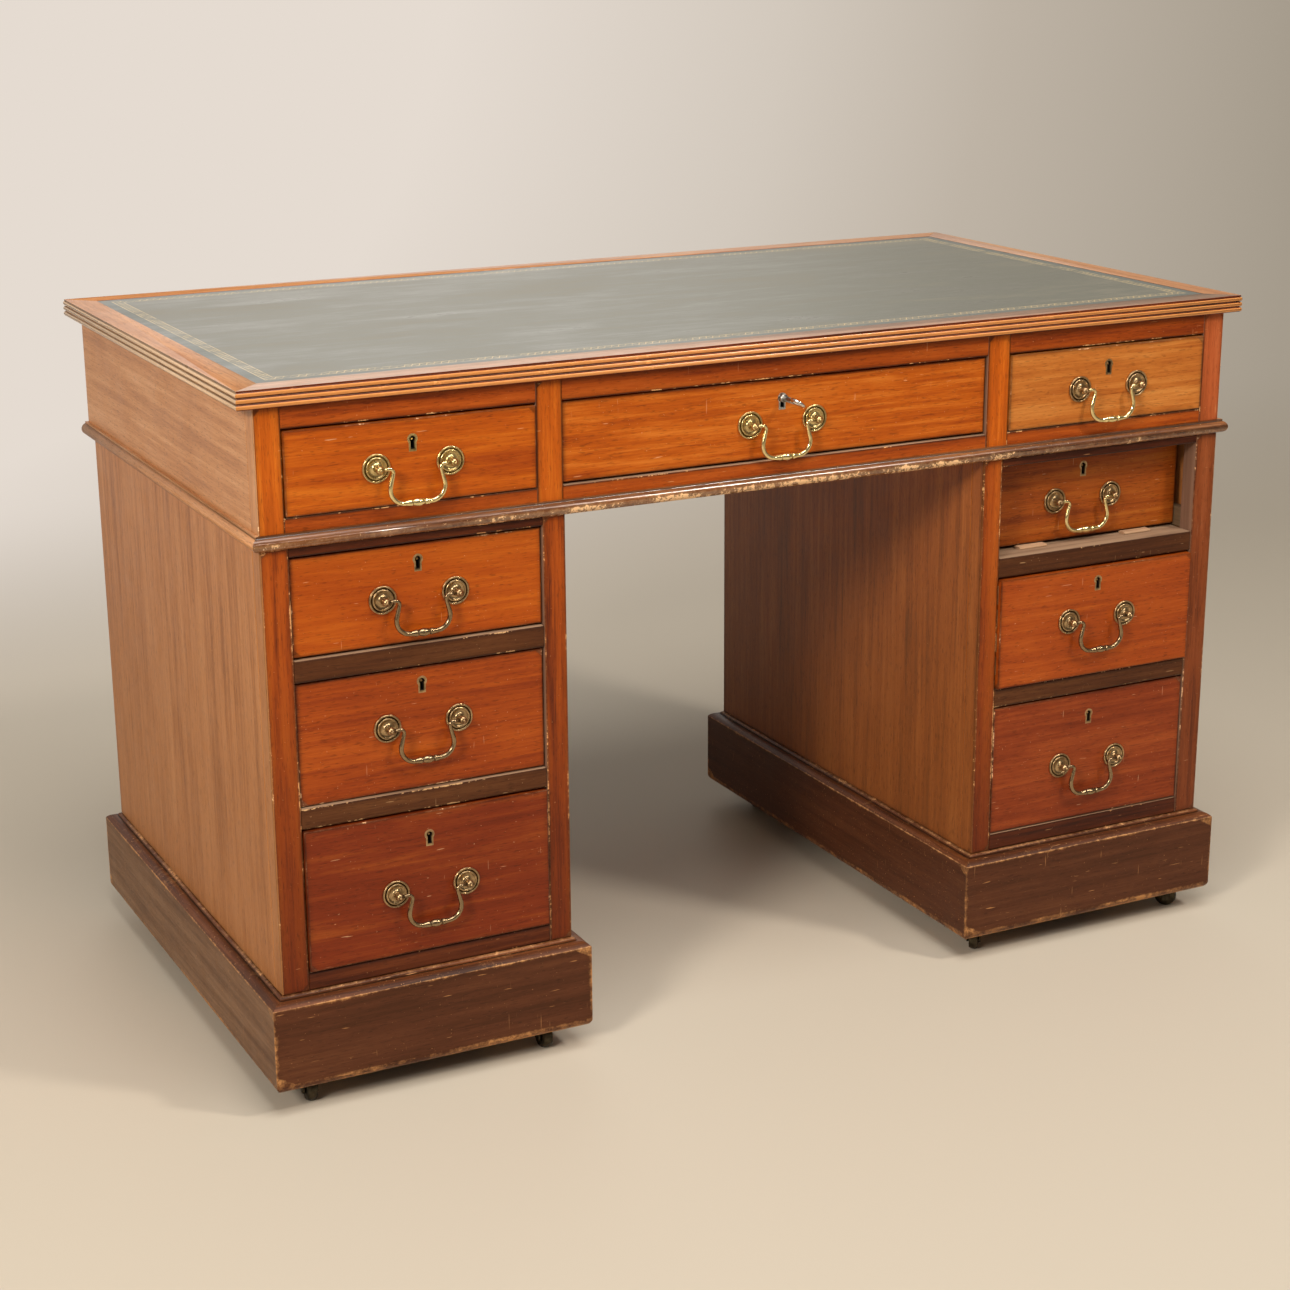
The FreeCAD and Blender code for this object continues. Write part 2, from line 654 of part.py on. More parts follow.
def front_cuts(bay):
    """What is cut in a drawer front: lock pocket, keyhole, escutcheon and bolt holes."""
    middle, half, face = drawer_frame(bay)
    fit = FITS[bay.name]
    key = V(middle, face, bay.floor + fit.key)
    inside = V(0, FRONT_THICK, 0)
    cuts = [lock_body(bay), key_chamber(bay), keyhole(key, 0.0, FRONT_THICK - LOCK_DEPTH),
            keyhole(key, ESCUTCHEON_WALL, ESCUTCHEON_THICK)]
    if bay.name == "frieze_centre":
        cuts.append(bolt_channel(bay))
    for post in post_places(bay):
        cuts.append(cylinder(BOLT_DIAMETER / 2.0, post, post + inside))
    return cuts


# ---------------------------------------------------------------- fittings

def keyhole(key, wall, depth):
    """A keyhole's outline grown by a wall, cut from the face inwards."""
    radius = KEYHOLE_RADIUS + wall
    slot = KEYHOLE_SLOT / 2.0 + wall * 0.8
    low = KEYHOLE_LENGTH - KEYHOLE_RADIUS + wall
    hole = cylinder(radius, key, key + V(0, depth, 0))
    tail = box(key.x - slot, key.x + slot, key.y, key.y + depth, key.z - low, key.z)
    return hole.fuse(tail).removeSplitter()


def escutcheon(bay):
    middle, half, face = drawer_frame(bay)
    key = V(middle, face, bay.floor + FITS[bay.name].key)
    plate = keyhole(key, ESCUTCHEON_WALL, ESCUTCHEON_THICK)
    return plate.cut(keyhole(key, 0.0, ESCUTCHEON_THICK))


def key_chamber(bay):
    middle, half, face = drawer_frame(bay)
    y = face + FRONT_THICK - LOCK_DEPTH
    z = bay.floor + FITS[bay.name].key
    return cylinder(KEY_CHAMBER_RADIUS, V(middle, y, z), V(middle, y + KEY_CHAMBER_DEPTH, z))


def lock_body(bay):
    """A cut drawer lock: case, back plate and the plate along the front's top edge."""
    middle, half, face = drawer_frame(bay)
    y1 = face + FRONT_THICK
    y0 = y1 - LOCK_DEPTH
    z1 = bay.floor + bay.height - TOP_GAP
    z0 = bay.floor + FITS[bay.name].key - LOCK_BELOW_KEY
    case = box(middle - LOCK_WIDTH / 2.0, middle + LOCK_WIDTH / 2.0, y0, y1, z0, z1)
    wide = LOCK_PLATE_WIDTH / 2.0
    plate = box(middle - wide, middle + wide, y1 - LOCK_PLATE_THICK, y1,
                z0 - LOCK_PLATE_THICK, z1)
    edge = box(middle - wide, middle + wide, y0, y1, z1 - LOCK_PLATE_THICK, z1)
    return case.multiFuse([plate, edge]).removeSplitter()


def bolt_face():
    """The bolt's front face, measured from the drawer's face."""
    return FRONT_THICK - LOCK_DEPTH + (LOCK_DEPTH - LOCK_PLATE_THICK - BOLT_THICK) / 2.0


def bolt_box(bay, gap, top):
    middle, half, face = drawer_frame(bay)
    wide = BOLT_WIDTH / 2.0 + gap
    y = face + bolt_face()
    z0 = bay.floor + FITS[bay.name].key + BIT_RADIUS + RUNNING_GAP * 2.0 - gap
    return box(middle - wide, middle + wide, y - gap, y + BOLT_THICK + gap, z0, top)


def bolt_channel(bay):
    top = bay.floor + bay.height - TOP_GAP
    return bolt_box(bay, RUNNING_GAP, top + 1.0)


def lock_bolt(bay):
    return [bolt_box(bay, 0.0, bay.floor + bay.height - TOP_GAP)]


def lock(bay):
    middle, half, face = drawer_frame(bay)
    body = lock_body(bay).cut(key_chamber(bay))
    if bay.name == "frieze_centre":
        body = body.cut(bolt_channel(bay))
    y1 = face + FRONT_THICK - LOCK_DEPTH + KEY_CHAMBER_DEPTH
    z = bay.floor + FITS[bay.name].key
    drill = cylinder(DRILL_PIN / 2.0, V(middle, face + ESCUTCHEON_THICK, z),
                     V(middle, y1, z))
    return body.fuse(drill).removeSplitter()


def post_places(bay):
    middle, half, face = drawer_frame(bay)
    z = bay.floor + FITS[bay.name].handle
    return [V(middle + side * HANDLE_CENTRES / 2.0, face, z) for side in (-1.0, 1.0)]


def rosette(post):
    """A round stepped back plate, turned about the post."""
    edge = ROSETTE_DIAMETER / 2.0
    bore = BOLT_DIAMETER / 2.0
    thick = ROSETTE_THICK
    steps = [
        (bore, 0.0),
        (edge, 0.0),
        (edge, thick * 0.35),
        (edge * 0.94, thick * 0.8, edge * 0.85, thick * 0.4),
        (edge * 0.76, thick * 0.4),
        (edge * 0.70, thick, edge * 0.62, thick * 0.75),
        (edge * 0.45, thick * 0.5, edge * 0.30, thick),
        (bore, thick),
    ]
    return revolved(steps, lambda u, t: V(post.x, post.y - t, post.z + u),
                    post, V(0, 1, 0))


def post_shape(post, inward):
    """A turned post: bolt, waisted neck, ball with the bail's socket, and a finial."""
    bolt = BOLT_DIAMETER / 2.0
    ball = BALL_DIAMETER / 2.0
    thick = ROSETTE_THICK
    reach = POST_REACH
    neck = bolt * 1.15
    blend = math.sqrt(ball * ball - neck * neck)
    finial = bolt * 0.8
    tip = math.sqrt(ball * ball - finial * finial)
    cap = reach + ball + FINIAL_LENGTH - finial
    steps = [
        (0.0, -FRONT_THICK - NUT_THICK),
        (bolt, -FRONT_THICK - NUT_THICK),
        (bolt, thick),
        (bolt * 1.9, thick),
        (neck * 1.15, (thick + reach - blend) / 2.0, neck, reach - blend),
        (ball, reach, finial, reach + tip),
        (finial, cap),
        (finial * math.sqrt(0.5), cap + finial * math.sqrt(0.5), 0.0, cap + finial),
    ]
    shape = revolved(steps, lambda u, t: V(post.x, post.y - t, post.z + u),
                     post, V(0, 1, 0))
    centre = post + V(0, -reach, 0)
    mouth = centre + V(inward * BALL_DIAMETER, 0, 0)
    blind = centre + V(inward * (ball - PIN_DEPTH - RUNNING_GAP), 0, 0)
    return shape.cut(cylinder(PIN_DIAMETER / 2.0 + PIVOT_GAP, blind, mouth))


def nut(post):
    y = post.y + FRONT_THICK
    half = NUT_SIZE / 2.0
    shape = box(post.x - half, post.x + half, y, y + NUT_THICK, post.z - half, post.z + half)
    return shape.cut(cylinder(BOLT_DIAMETER / 2.0, V(post.x, y, post.z),
                              V(post.x, y + NUT_THICK, post.z)))


def fittings(bay):
    """Everything brass that is fixed to one drawer."""
    pieces = [escutcheon(bay), lock(bay)]
    for post, inward in zip(post_places(bay), (1.0, -1.0)):
        pieces.extend([rosette(post), post_shape(post, inward), nut(post)])
    return pieces


def bail(bay):
    """The swan-neck bail: pins, thin shoulders and necks, a stouter bowl and a grip."""
    posts = post_places(bay)
    centre = (posts[0] + posts[1]) * 0.5 + V(0, -POST_REACH, 0)
    pin_x = HANDLE_CENTRES / 2.0 - BALL_DIAMETER / 2.0
    thin = NECK_DIAMETER / 2.0
    stout = BOWL_DIAMETER / 2.0
    slant = math.radians(NECK_SLANT)
    sweep = 90.0 + NECK_SLANT
    lean = V(-math.cos(slant), 0, -math.sin(slant))
    down = V(math.sin(slant), 0, -math.cos(slant))

    # The right half, from the pin inwards: shoulder, neck bend, run and bowl bend.
    neck_hub = V(pin_x - BAIL_SHOULDER, 0, -NECK_RADIUS)
    bend_start = neck_hub + V(0, 0, NECK_RADIUS)
    neck_end = neck_hub + lean * NECK_RADIUS
    run_end = neck_end + down * NECK_RUN
    bowl = (BAIL_DROP + run_end.z) / (1.0 + math.sin(slant))
    bowl_hub = run_end + lean * bowl
    pin = cylinder(PIN_DIAMETER / 2.0, bend_start, V(pin_x + PIN_DEPTH, 0, 0))
    right = pin.multiFuse([
        cylinder(thin, bend_start, V(pin_x - RUNNING_GAP, 0, 0)),
        bend(thin, bend_start, V(1, 0, 0), neck_hub, -sweep),
        Part.makeCone(thin, stout, NECK_RUN, neck_end, down),
        bend(stout, run_end, down, bowl_hub, sweep),
        cylinder(stout, V(0, 0, -BAIL_DROP), V(bowl_hub.x, 0, -BAIL_DROP)),
        grip(),
    ])
    shape = right.fuse(right.mirror(V(0, 0, 0), V(1, 0, 0))).removeSplitter()
    shape.translate(centre)
    return [shape]


def bend(radius, start, normal, hub, angle):
    """A round rod bent about a hub in the XZ plane."""
    section = Part.Face(Part.Wire(Part.makeCircle(radius, start, normal)))
    return section.revolve(hub, V(0, 1, 0), angle)


def grip():
    """The bail's turned grip: a barrel that steps down into a leaf-shaped swell each side."""
    half = GRIP_LENGTH / 2.0
    swell = GRIP_DIAMETER / 2.0
    leaf = LEAF_DIAMETER / 2.0
    step = leaf - LEAF_STEP
    stout = BOWL_DIAMETER / 2.0
    end = half + LEAF_LENGTH
    steps = [
        (-end, 0.0),
        (-end, stout),
        (-half, leaf),
        (-half + LEAF_STEP, step),
        (0.0, swell, half - LEAF_STEP, step),
        (half, leaf),
        (end, stout),
        (end, 0.0),
    ]
    return revolved(steps, lambda u, t: V(u, 0, t - BAIL_DROP),
                    V(0, 0, -BAIL_DROP), V(1, 0, 0))


def key(bay):
    """A barrel key standing in the lock, part turned: bow, shank, collar and bit."""
    middle, half, face = drawer_frame(bay)
    z = bay.floor + FITS[bay.name].key
    end = face + FRONT_THICK - LOCK_DEPTH + KEY_CHAMBER_DEPTH - RUNNING_GAP
    bow_y = face - KEY_OUT + BOW_RADIUS + BOW_WIRE / 2.0
    shank_y = bow_y + BOW_RADIUS
    shank = cylinder(KEY_SHANK / 2.0, V(middle, shank_y, z), V(middle, end, z))
    bow = Part.makeTorus(BOW_RADIUS, BOW_WIRE / 2.0, V(middle, bow_y, z), V(1, 0, 0))
    collar_y = face - RUNNING_GAP * 4.0
    collar = cylinder(KEY_COLLAR / 2.0, V(middle, collar_y - BOLT_THICK, z),
                      V(middle, collar_y, z))
    bit = box(middle - BIT_THICK / 2.0, middle + BIT_THICK / 2.0, end - BIT_WIDTH, end,
              z - BIT_RADIUS, z)
    shape = shank.multiFuse([bow, collar, bit])
    barrel = cylinder(KEY_BORE / 2.0, V(middle, face + ESCUTCHEON_THICK - RUNNING_GAP, z),
                      V(middle, end + 1.0, z))
    shape = shape.cut(barrel).removeSplitter()
    shape.rotate(V(middle, 0, z), V(0, 1, 0), -KEY_TURN)
    return [shape]


# ---------------------------------------------------------------- castors

def castor_pivots(side):
    x0, x1, y0, y1 = plinth_extent(side)
    inset = CASTOR_INSET
    return [(x, y) for y in (y0 + inset, y1 - inset) for x in (x0 + inset, x1 - inset)]


def castor_places():
    """Name, x, y and heading of the eight castors."""
    places = []
    for side, label in ((-1.0, "left"), (1.0, "right")):
        x0, x1, y0, y1 = plinth_extent(side)
        for x, y in castor_pivots(side):
            row = "front" if y < (y0 + y1) / 2.0 else "back"
            reach = "inner" if abs(x) < abs((x0 + x1) / 2.0) else "outer"
            name = "_".join((label, row, reach))
            places.append((name, x, y, CASTOR_HEADINGS[name]))
    return places


def fork_underside():
    return WHEEL_DIAMETER + CROWN_CLEARANCE


def castor_plate_top():
    return fork_underside() + FORK_TOP + RUNNING_GAP + PLATE_THICK


def castor_plates():
    """Round plates screwed under the plinth blocks, each with its pivot stem."""
    plates = []
    top = castor_plate_top()
    for name, x, y, heading in castor_places():
        plate = cylinder(PLATE_DIAMETER / 2.0, V(x, y, top - PLATE_THICK), V(x, y, top))
        stem = cylinder(PIVOT_DIAMETER / 2.0, V(x, y, fork_underside() + RUNNING_GAP),
                        V(x, y, top))
        plates.append(plate.fuse(stem).removeSplitter())
    return plates


def turned_to(shape, x, y, heading):
    shape.rotate(V(0, 0, 0), V(0, 0, 1), heading)
    shape.translate(V(x, y, 0))
    return shape


def castor_fork(x, y, heading):
    """A cast fork: a disc under the plate, two raked arms and the riveted axle."""
    z1 = fork_underside() + FORK_TOP
    z0 = fork_underside()
    disc = cylinder(FORK_RADIUS, V(0, 0, z0), V(0, 0, z1))
    axle_z = WHEEL_DIAMETER / 2.0
    reach = WHEEL_WIDTH / 2.0 + FORK_GAP
    arms = []
    hub = FORK_RADIUS * 0.5
    for side in (-1.0, 1.0):
        y0 = side * reach
        y1 = side * (reach + FORK_ARM)
        outline = [V(-FORK_RADIUS * 0.7, y0, z1), V(CASTOR_TRAIL - hub * 0.9, y0, axle_z),
                   V(CASTOR_TRAIL + hub * 0.9, y0, axle_z), V(FORK_RADIUS * 0.75, y0, z1)]
        arms.append(prism(outline, V(0, y1 - y0, 0)))
        arms.append(cylinder(hub, V(CASTOR_TRAIL, y0, axle_z), V(CASTOR_TRAIL, y1, axle_z)))
    axle = cylinder(AXLE_DIAMETER / 2.0, V(CASTOR_TRAIL, -reach - FORK_ARM, axle_z),
                    V(CASTOR_TRAIL, reach + FORK_ARM, axle_z))
    shape = disc.multiFuse(arms + [axle])
    bore = cylinder(PIVOT_DIAMETER / 2.0 + PIVOT_GAP, V(0, 0, z0 - 1.0), V(0, 0, z1 + 1.0))
    return [turned_to(shape.cut(bore).removeSplitter(), x, y, heading)]


def castor_wheel(x, y, heading):
    """A crowned wheel, bored for the axle."""
    radius = WHEEL_DIAMETER / 2.0
    bore = AXLE_DIAMETER / 2.0 + PIVOT_GAP
    half = WHEEL_WIDTH / 2.0
    shoulder = radius - WHEEL_CROWN
    steps = [
        (bore, -half),
        (shoulder, -half),
        (radius, 0.0, shoulder, half),
        (bore, half),
    ]
    centre = V(CASTOR_TRAIL, 0, radius)
    shape = revolved(steps, lambda u, t: centre + V(u, t, 0), centre, V(0, 1, 0))
    return [turned_to(shape, x, y, heading)]


# ---------------------------------------------------------------- assembly

def make_nodes():
    nodes = {
        "top_panel": top_panel(),
        "top_lipping": top_lipping(),
        "writing_leather": writing_leather(),
        "frieze_front_frame": frieze_front_frame(),
        "frieze_ends": frieze_ends(),
        "waist_moulding": waist_moulding(),
        "back_panels": back_panels(),
        "drawer_runners": drawer_runners(),
        "castor_plates": castor_plates(),
    }
    for side, label in ((-1.0, "left"), (1.0, "right")):
        nodes[label + "_pedestal_case"] = pedestal_case(side)
        nodes[label + "_pedestal_frame"] = pedestal_front_frame(side)
        nodes[label + "_plinth"] = plinth(side)
    for bay in BAYS:
        nodes[bay.name + "_drawer"] = drawer(bay)
        nodes[bay.name + "_fittings"] = fittings(bay)
        nodes[bay.name + "_bail"] = bail(bay)
    centre = BAYS[1]
    nodes["key"] = key(centre)
    nodes["lock_bolt"] = lock_bolt(centre)
    for name, x, y, heading in castor_places():
        nodes[name + "_fork"] = castor_fork(x, y, heading)
        nodes[name + "_wheel"] = castor_wheel(x, y, heading)
    return nodes


def export(nodes):
    os.makedirs("parts", exist_ok=True)
    for name, solids in nodes.items():
        Part.makeCompound(solids).exportStep(os.path.join("parts", name + ".step"))


export(make_nodes())
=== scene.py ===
import json
import math
import random

import bmesh
import bpy
from mathutils import Matrix, Vector


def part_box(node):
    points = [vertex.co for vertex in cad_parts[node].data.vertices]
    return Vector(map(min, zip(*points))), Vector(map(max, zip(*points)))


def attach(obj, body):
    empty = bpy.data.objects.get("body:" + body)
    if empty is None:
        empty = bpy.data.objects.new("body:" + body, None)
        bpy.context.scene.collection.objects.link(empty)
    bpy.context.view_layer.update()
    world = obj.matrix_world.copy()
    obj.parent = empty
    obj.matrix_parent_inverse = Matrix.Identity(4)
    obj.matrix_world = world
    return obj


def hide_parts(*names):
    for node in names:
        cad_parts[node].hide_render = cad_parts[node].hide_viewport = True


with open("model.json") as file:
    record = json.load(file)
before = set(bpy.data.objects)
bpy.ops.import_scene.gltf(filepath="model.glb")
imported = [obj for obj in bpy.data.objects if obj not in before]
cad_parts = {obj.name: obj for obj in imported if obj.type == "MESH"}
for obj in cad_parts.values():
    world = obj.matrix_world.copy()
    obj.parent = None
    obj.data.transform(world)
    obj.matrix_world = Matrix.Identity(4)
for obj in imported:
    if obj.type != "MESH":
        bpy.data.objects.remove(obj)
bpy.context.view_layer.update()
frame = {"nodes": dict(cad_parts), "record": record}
nodes = frame["nodes"]
bodies = frame["record"]["behaviour"]["bodies"]
body_of = {node: body for body, members in bodies.items() for node in members}


# ------------------------------------------------------------------------------ plinths
# Each pedestal stands on a plinth of four mitred mahogany boards with a sloped and
# beaded top edge, glued round corner blocks and stained dark. Shoes and mops have
# scuffed the faces and worn the foot, the corners and the bead to the bare wood.

def linear(colour):
    """An sRGB colour such as "#8A5A30" as the linear values that a shader works in."""
    parts = [int(colour[i:i + 2], 16) / 255 for i in (1, 3, 5)]
    return [c / 12.92 if c <= 0.04045 else ((c + 0.055) / 1.055) ** 2.4
            for c in parts] + [1.0]


def add_node(tree, kind, sockets, out=0, stops=(), **settings):
    """Adds a shader node with its settings, links and socket values, and gives one
    output. A hex colour turns linear. Stops are a colour ramp's places and colours."""
    node = tree.nodes.new("ShaderNode" + kind)
    for name, value in settings.items():
        setattr(node, name, value)
    for socket, value in sockets.items():
        if isinstance(value, bpy.types.NodeSocket):
            tree.links.new(value, node.inputs[socket])
        else:
            value = linear(value) if isinstance(value, str) else value
            node.inputs[socket].default_value = value
    for i, (place, colour) in enumerate(stops):
        ramp = node.color_ramp.elements
        stop = ramp[i] if i < len(ramp) else ramp.new(1.0)
        stop.position = place
        stop.color = linear(colour)
    return node.outputs[out] if node.outputs else node


def empty_material(name):
    material = bpy.data.materials.new(name)
    material.use_nodes = True
    material.node_tree.nodes.clear()
    return material


def mahogany(name, dark, middle, light, bare, chips=0.4, rubbed=0.0, grime_and_shade=0.4,
             soil_and_shade=0.9, curl=0.4, rough=0.36, shine=0.2, marks=0.5, low_shade=0.0, crest=0.0):
    """Shellac-polished mahogany: growth bands, ribbon stripes, fine streaks and short
    dark pores under a thin clear film, with old dirt and painted shade in the hollows
    and along the arrises, painted shade that darkens it towards the floor, a painted
    highlight on a moulding's crest, pale scratches and nicks, polish rubbed thin, and
    bare wood where an arris is chipped."""
    material = empty_material(name)
    tree = material.node_tree
    grain = add_node(tree, "Attribute", {}, "Vector", attribute_name="grain")
    tone = add_node(tree, "Attribute", {}, "Fac", attribute_name="tone")
    edge = add_node(tree, "Attribute", {}, "Fac", attribute_name="edge")
    hollow = add_node(tree, "Attribute", {}, "Fac", attribute_name="hollow")
    place = add_node(tree, "TexCoord", {}, "Object")

    # Lumps per metre along and across the grain, and their share of the figure: growth
    # bands of 15 mm, ribbons of 5 mm, streaks of 2 mm, pore lines of 1 mm, and clouds.
    figure = 0.0
    for along, across, share in ((3, 65, 0.34), (7, 190, 0.22), (18, 480, 0.16),
                                 (60, 1000, 0.12), (6, 8, 0.16)):
        stretched = add_node(tree, "Mapping", {"Vector": grain,
                                               "Scale": (along, across, across)})
        noise = add_node(tree, "TexNoise", {"Vector": stretched, "Scale": 1.0,
                                            "Detail": 3.0, "Distortion": curl})
        figure = add_node(tree, "Math", {0: noise, 1: share, 2: figure},
                          operation="MULTIPLY_ADD")
    colour = add_node(tree, "ValToRGB", {"Fac": figure},
                      stops=[(0.39, dark), (0.5, middle), (0.61, light)])
    shade = add_node(tree, "Math", {0: tone, 1: 0.05, 2: 1.0}, operation="MULTIPLY_ADD")
    colour = add_node(tree, "HueSaturation", {"Color": colour, "Value": shade})
    # Painted shade, partly wood that has faded less low down: darker towards the floor,
    # from 0.6 m down to 0.13 m.
    height = add_node(tree, "SeparateXYZ", {0: place}, 2)
    shade_below = add_node(tree, "MapRange", {0: height, 1: 0.6, 2: 0.13, 3: 0.0, 4: low_shade})
    colour = add_node(tree, "Mix", {0: shade_below, 6: colour, 7: dark}, 2, data_type="RGBA")

    # Marks: pores along the grain, drawn 1.2 mm apart because the real 0.3 mm ones are
    # too fine to show, then scratches two ways across it, and flecks of 2 mm. Harder use
    # has left more of them as well as paler ones.
    relief = figure
    per_marks = 0.03
    more = per_marks * marks
    pale = min(1.0, marks)
    for source, scale, turn, low, high, strength, tint in (
            (grain, (110, 820, 820), 0.0, 0.60, 0.70, 0.34, "#1E0B03"),
            (place, (40, 700, 420), 0.5, 0.79 - more, 0.80, pale, bare),
            (place, (500, 700, 30), 0.4, 0.80 - more, 0.81, pale * 0.7, bare),
            (place, (480, 480, 560), 0.0, 0.78 - more, 0.80, pale, bare)):
        stretched = add_node(tree, "Mapping", {"Vector": source, "Scale": scale,
                                               "Rotation": (turn, turn, 0.0)})
        noise = add_node(tree, "TexNoise", {"Vector": stretched, "Scale": 1.0,
                                            "Detail": 1.0})
        mark = add_node(tree, "MapRange", {0: noise, 1: low, 2: high, 3: 0.0,
                                           4: strength})
        colour = add_node(tree, "Mix", {0: mark, 6: colour, 7: tint}, 2,
                          data_type="RGBA")
        relief = add_node(tree, "Math", {0: relief, 1: mark}, operation="SUBTRACT")

    # Dirt and painted shade: dirt in patches in the 8 mm beside an arris, a thin dark
    # line on it that is partly painted shade in the gaps between parts, and darkening in
    # a hollow that is partly painted shade in the grooves.
    patches = add_node(tree, "TexNoise", {"Vector": place, "Scale": 38.0,
                                          "Detail": 3.0})
    beside = add_node(tree, "MapRange", {0: edge, 1: 0.2, 2: 1.0, 3: 0.0, 4: grime_and_shade})
    dirt_and_shade = add_node(tree, "Math", {0: patches, 1: beside}, operation="MULTIPLY")
    line = add_node(tree, "MapRange", {0: edge, 1: 0.78, 2: 1.0, 3: 0.0, 4: grime_and_shade})
    dirt_and_shade = add_node(tree, "Math", {0: dirt_and_shade, 1: line}, operation="ADD")
    dirt_and_shade = add_node(tree, "Math", {0: hollow, 1: soil_and_shade, 2: dirt_and_shade}, use_clamp=True,
                    operation="MULTIPLY_ADD")
    colour = add_node(tree, "Mix", {0: dirt_and_shade, 6: colour, 7: "#190A03"}, 2,
                      data_type="RGBA")

    # A painted highlight: evenly pale on a moulding's crest. Wear: ragged along an
    # arris, gathered in stretches of a few centimetres, where the polish is rubbed thin
    # and then chipped.
    crest_highlight = add_node(tree, "MapRange", {0: edge, 1: 0.74, 2: 1.0, 3: 0.0, 4: crest})
    colour = add_node(tree, "Mix", {0: crest_highlight, 6: colour, 7: bare}, 2, data_type="RGBA")
    unchipped, per_chips, rub_width, chip_rim = 1.745, 0.17, 0.15, 0.03
    worn = edge
    for scale, share in ((480.0, 0.25), (130.0, 0.4), (16.0, 0.5)):
        noise = add_node(tree, "TexNoise", {"Vector": place, "Scale": scale,
                                            "Detail": 2.0})
        worn = add_node(tree, "Math", {0: noise, 1: share, 2: worn},
                        operation="MULTIPLY_ADD")
    limit = unchipped - chips * per_chips
    thin = add_node(tree, "MapRange", {0: worn, 1: limit - rub_width, 2: limit, 3: 0.0,
                                       4: rubbed})
    colour = add_node(tree, "Mix", {0: thin, 6: colour, 7: bare}, 2, data_type="RGBA")
    worn = add_node(tree, "MapRange", {0: worn, 1: limit, 2: limit + chip_rim})
    colour = add_node(tree, "Mix", {0: worn, 6: colour, 7: bare}, 2, data_type="RGBA")

    dull = add_node(tree, "Math", {0: patches, 1: 0.16, 2: rough - 0.08},
                    operation="MULTIPLY_ADD")
    dull = add_node(tree, "Math", {0: worn, 1: 0.3, 2: dull}, operation="MULTIPLY_ADD")
    relief = add_node(tree, "Math", {0: relief, 1: worn}, operation="SUBTRACT")
    bump = add_node(tree, "Bump", {"Height": relief, "Strength": 0.3,
                                   "Distance": 0.0003})
    polish = add_node(tree, "BsdfPrincipled", {
        "Base Color": colour, "Roughness": dull, "Normal": bump, "IOR": 1.5,
        "Specular IOR Level": shine})
    add_node(tree, "OutputMaterial", {"Surface": polish})
    return material


def raw_wood(name, dark, light):
    """Planed deal, never polished: matt, with soft growth bands 11 mm apart and dust."""
    material = empty_material(name)
    tree = material.node_tree
    grain = add_node(tree, "Attribute", {}, "Vector", attribute_name="grain")
    tone = add_node(tree, "Attribute", {}, "Fac", attribute_name="tone")
    figure = 0.0
    for along, across, share in ((2, 90, 0.6), (12, 30, 0.25), (20, 500, 0.15)):
        stretched = add_node(tree, "Mapping", {"Vector": grain,
                                               "Scale": (along, across, across)})
        noise = add_node(tree, "TexNoise", {"Vector": stretched, "Scale": 1.0,
                                            "Detail": 3.0, "Distortion": 0.5})
        figure = add_node(tree, "Math", {0: noise, 1: share, 2: figure},
                          operation="MULTIPLY_ADD")
    colour = add_node(tree, "ValToRGB", {"Fac": figure},
                      stops=[(0.38, dark), (0.62, light)])
    shade = add_node(tree, "Math", {0: tone, 1: 0.08, 2: 1.0}, operation="MULTIPLY_ADD")
    colour = add_node(tree, "HueSaturation", {"Color": colour, "Value": shade})
    bump = add_node(tree, "Bump", {"Height": figure, "Strength": 0.4,
                                   "Distance": 0.0005})
    wood = add_node(tree, "BsdfPrincipled", {
        "Base Color": colour, "Roughness": 0.75, "Normal": bump, "IOR": 1.5})
    add_node(tree, "OutputMaterial", {"Surface": wood})
    return material


def number_solids(bm):
    """Numbers a CAD node's closed solids, whose loose triangles follow one another."""
    board = bm.faces.layers.int["board"]
    number = 0
    unmatched = set()
    for face in bm.faces:
        face[board] = number
        corners = [tuple(round(c, 7) for c in v.co) for v in face.verts]
        for a, b in zip(corners, corners[1:] + corners[:1]):
            if a != b:
                unmatched ^= {(min(a, b), max(a, b))}
        if not unmatched:
            number += 1


def boards_of(bm):
    """The faces and the corners of the box of each numbered solid."""
    board = bm.faces.layers.int["board"]
    groups = {}
    for face in bm.faces:
        groups.setdefault(face[board], []).append(face)
    found = []
    for number in sorted(groups):
        points = [v.co for face in groups[number] for v in face.verts]
        low = Vector([min(p[i] for p in points) for i in range(3)])
        high = Vector([max(p[i] for p in points) for i in range(3)])
        found.append((groups[number], low, high))
    return found


def on_arris(place, low, high):
    """1 on an arris of a board's box, and 0 elsewhere."""
    reach = 0.0016
    outer = sum(place[i] < low[i] + reach or place[i] > high[i] - reach
                for i in range(3))
    return 1.0 if outer > 1 else 0.0


def mark_boards(bm, upright, exposed, seed):
    """Writes each board's grain and tone to the mesh, and how exposed each vertex is."""
    chance = random.Random(seed)
    grain = bm.verts.layers.float_vector["grain"]
    edge = bm.verts.layers.float["edge"]
    tone = bm.faces.layers.float["tone"]
    for faces, low, high in boards_of(bm):
        size = high - low
        along = 2 if size.z > upright else max(range(3), key=lambda i: size[i])
        shift = Vector([chance.uniform(-5, 5) for i in range(3)])
        value = chance.uniform(-1, 1)
        for face in faces:
            face[tone] = value
            for v in face.verts:
                v[grain] = Vector([v.co[(along + i) % 3] for i in range(3)]) + shift
                v[edge] = exposed(v.co, low, high)


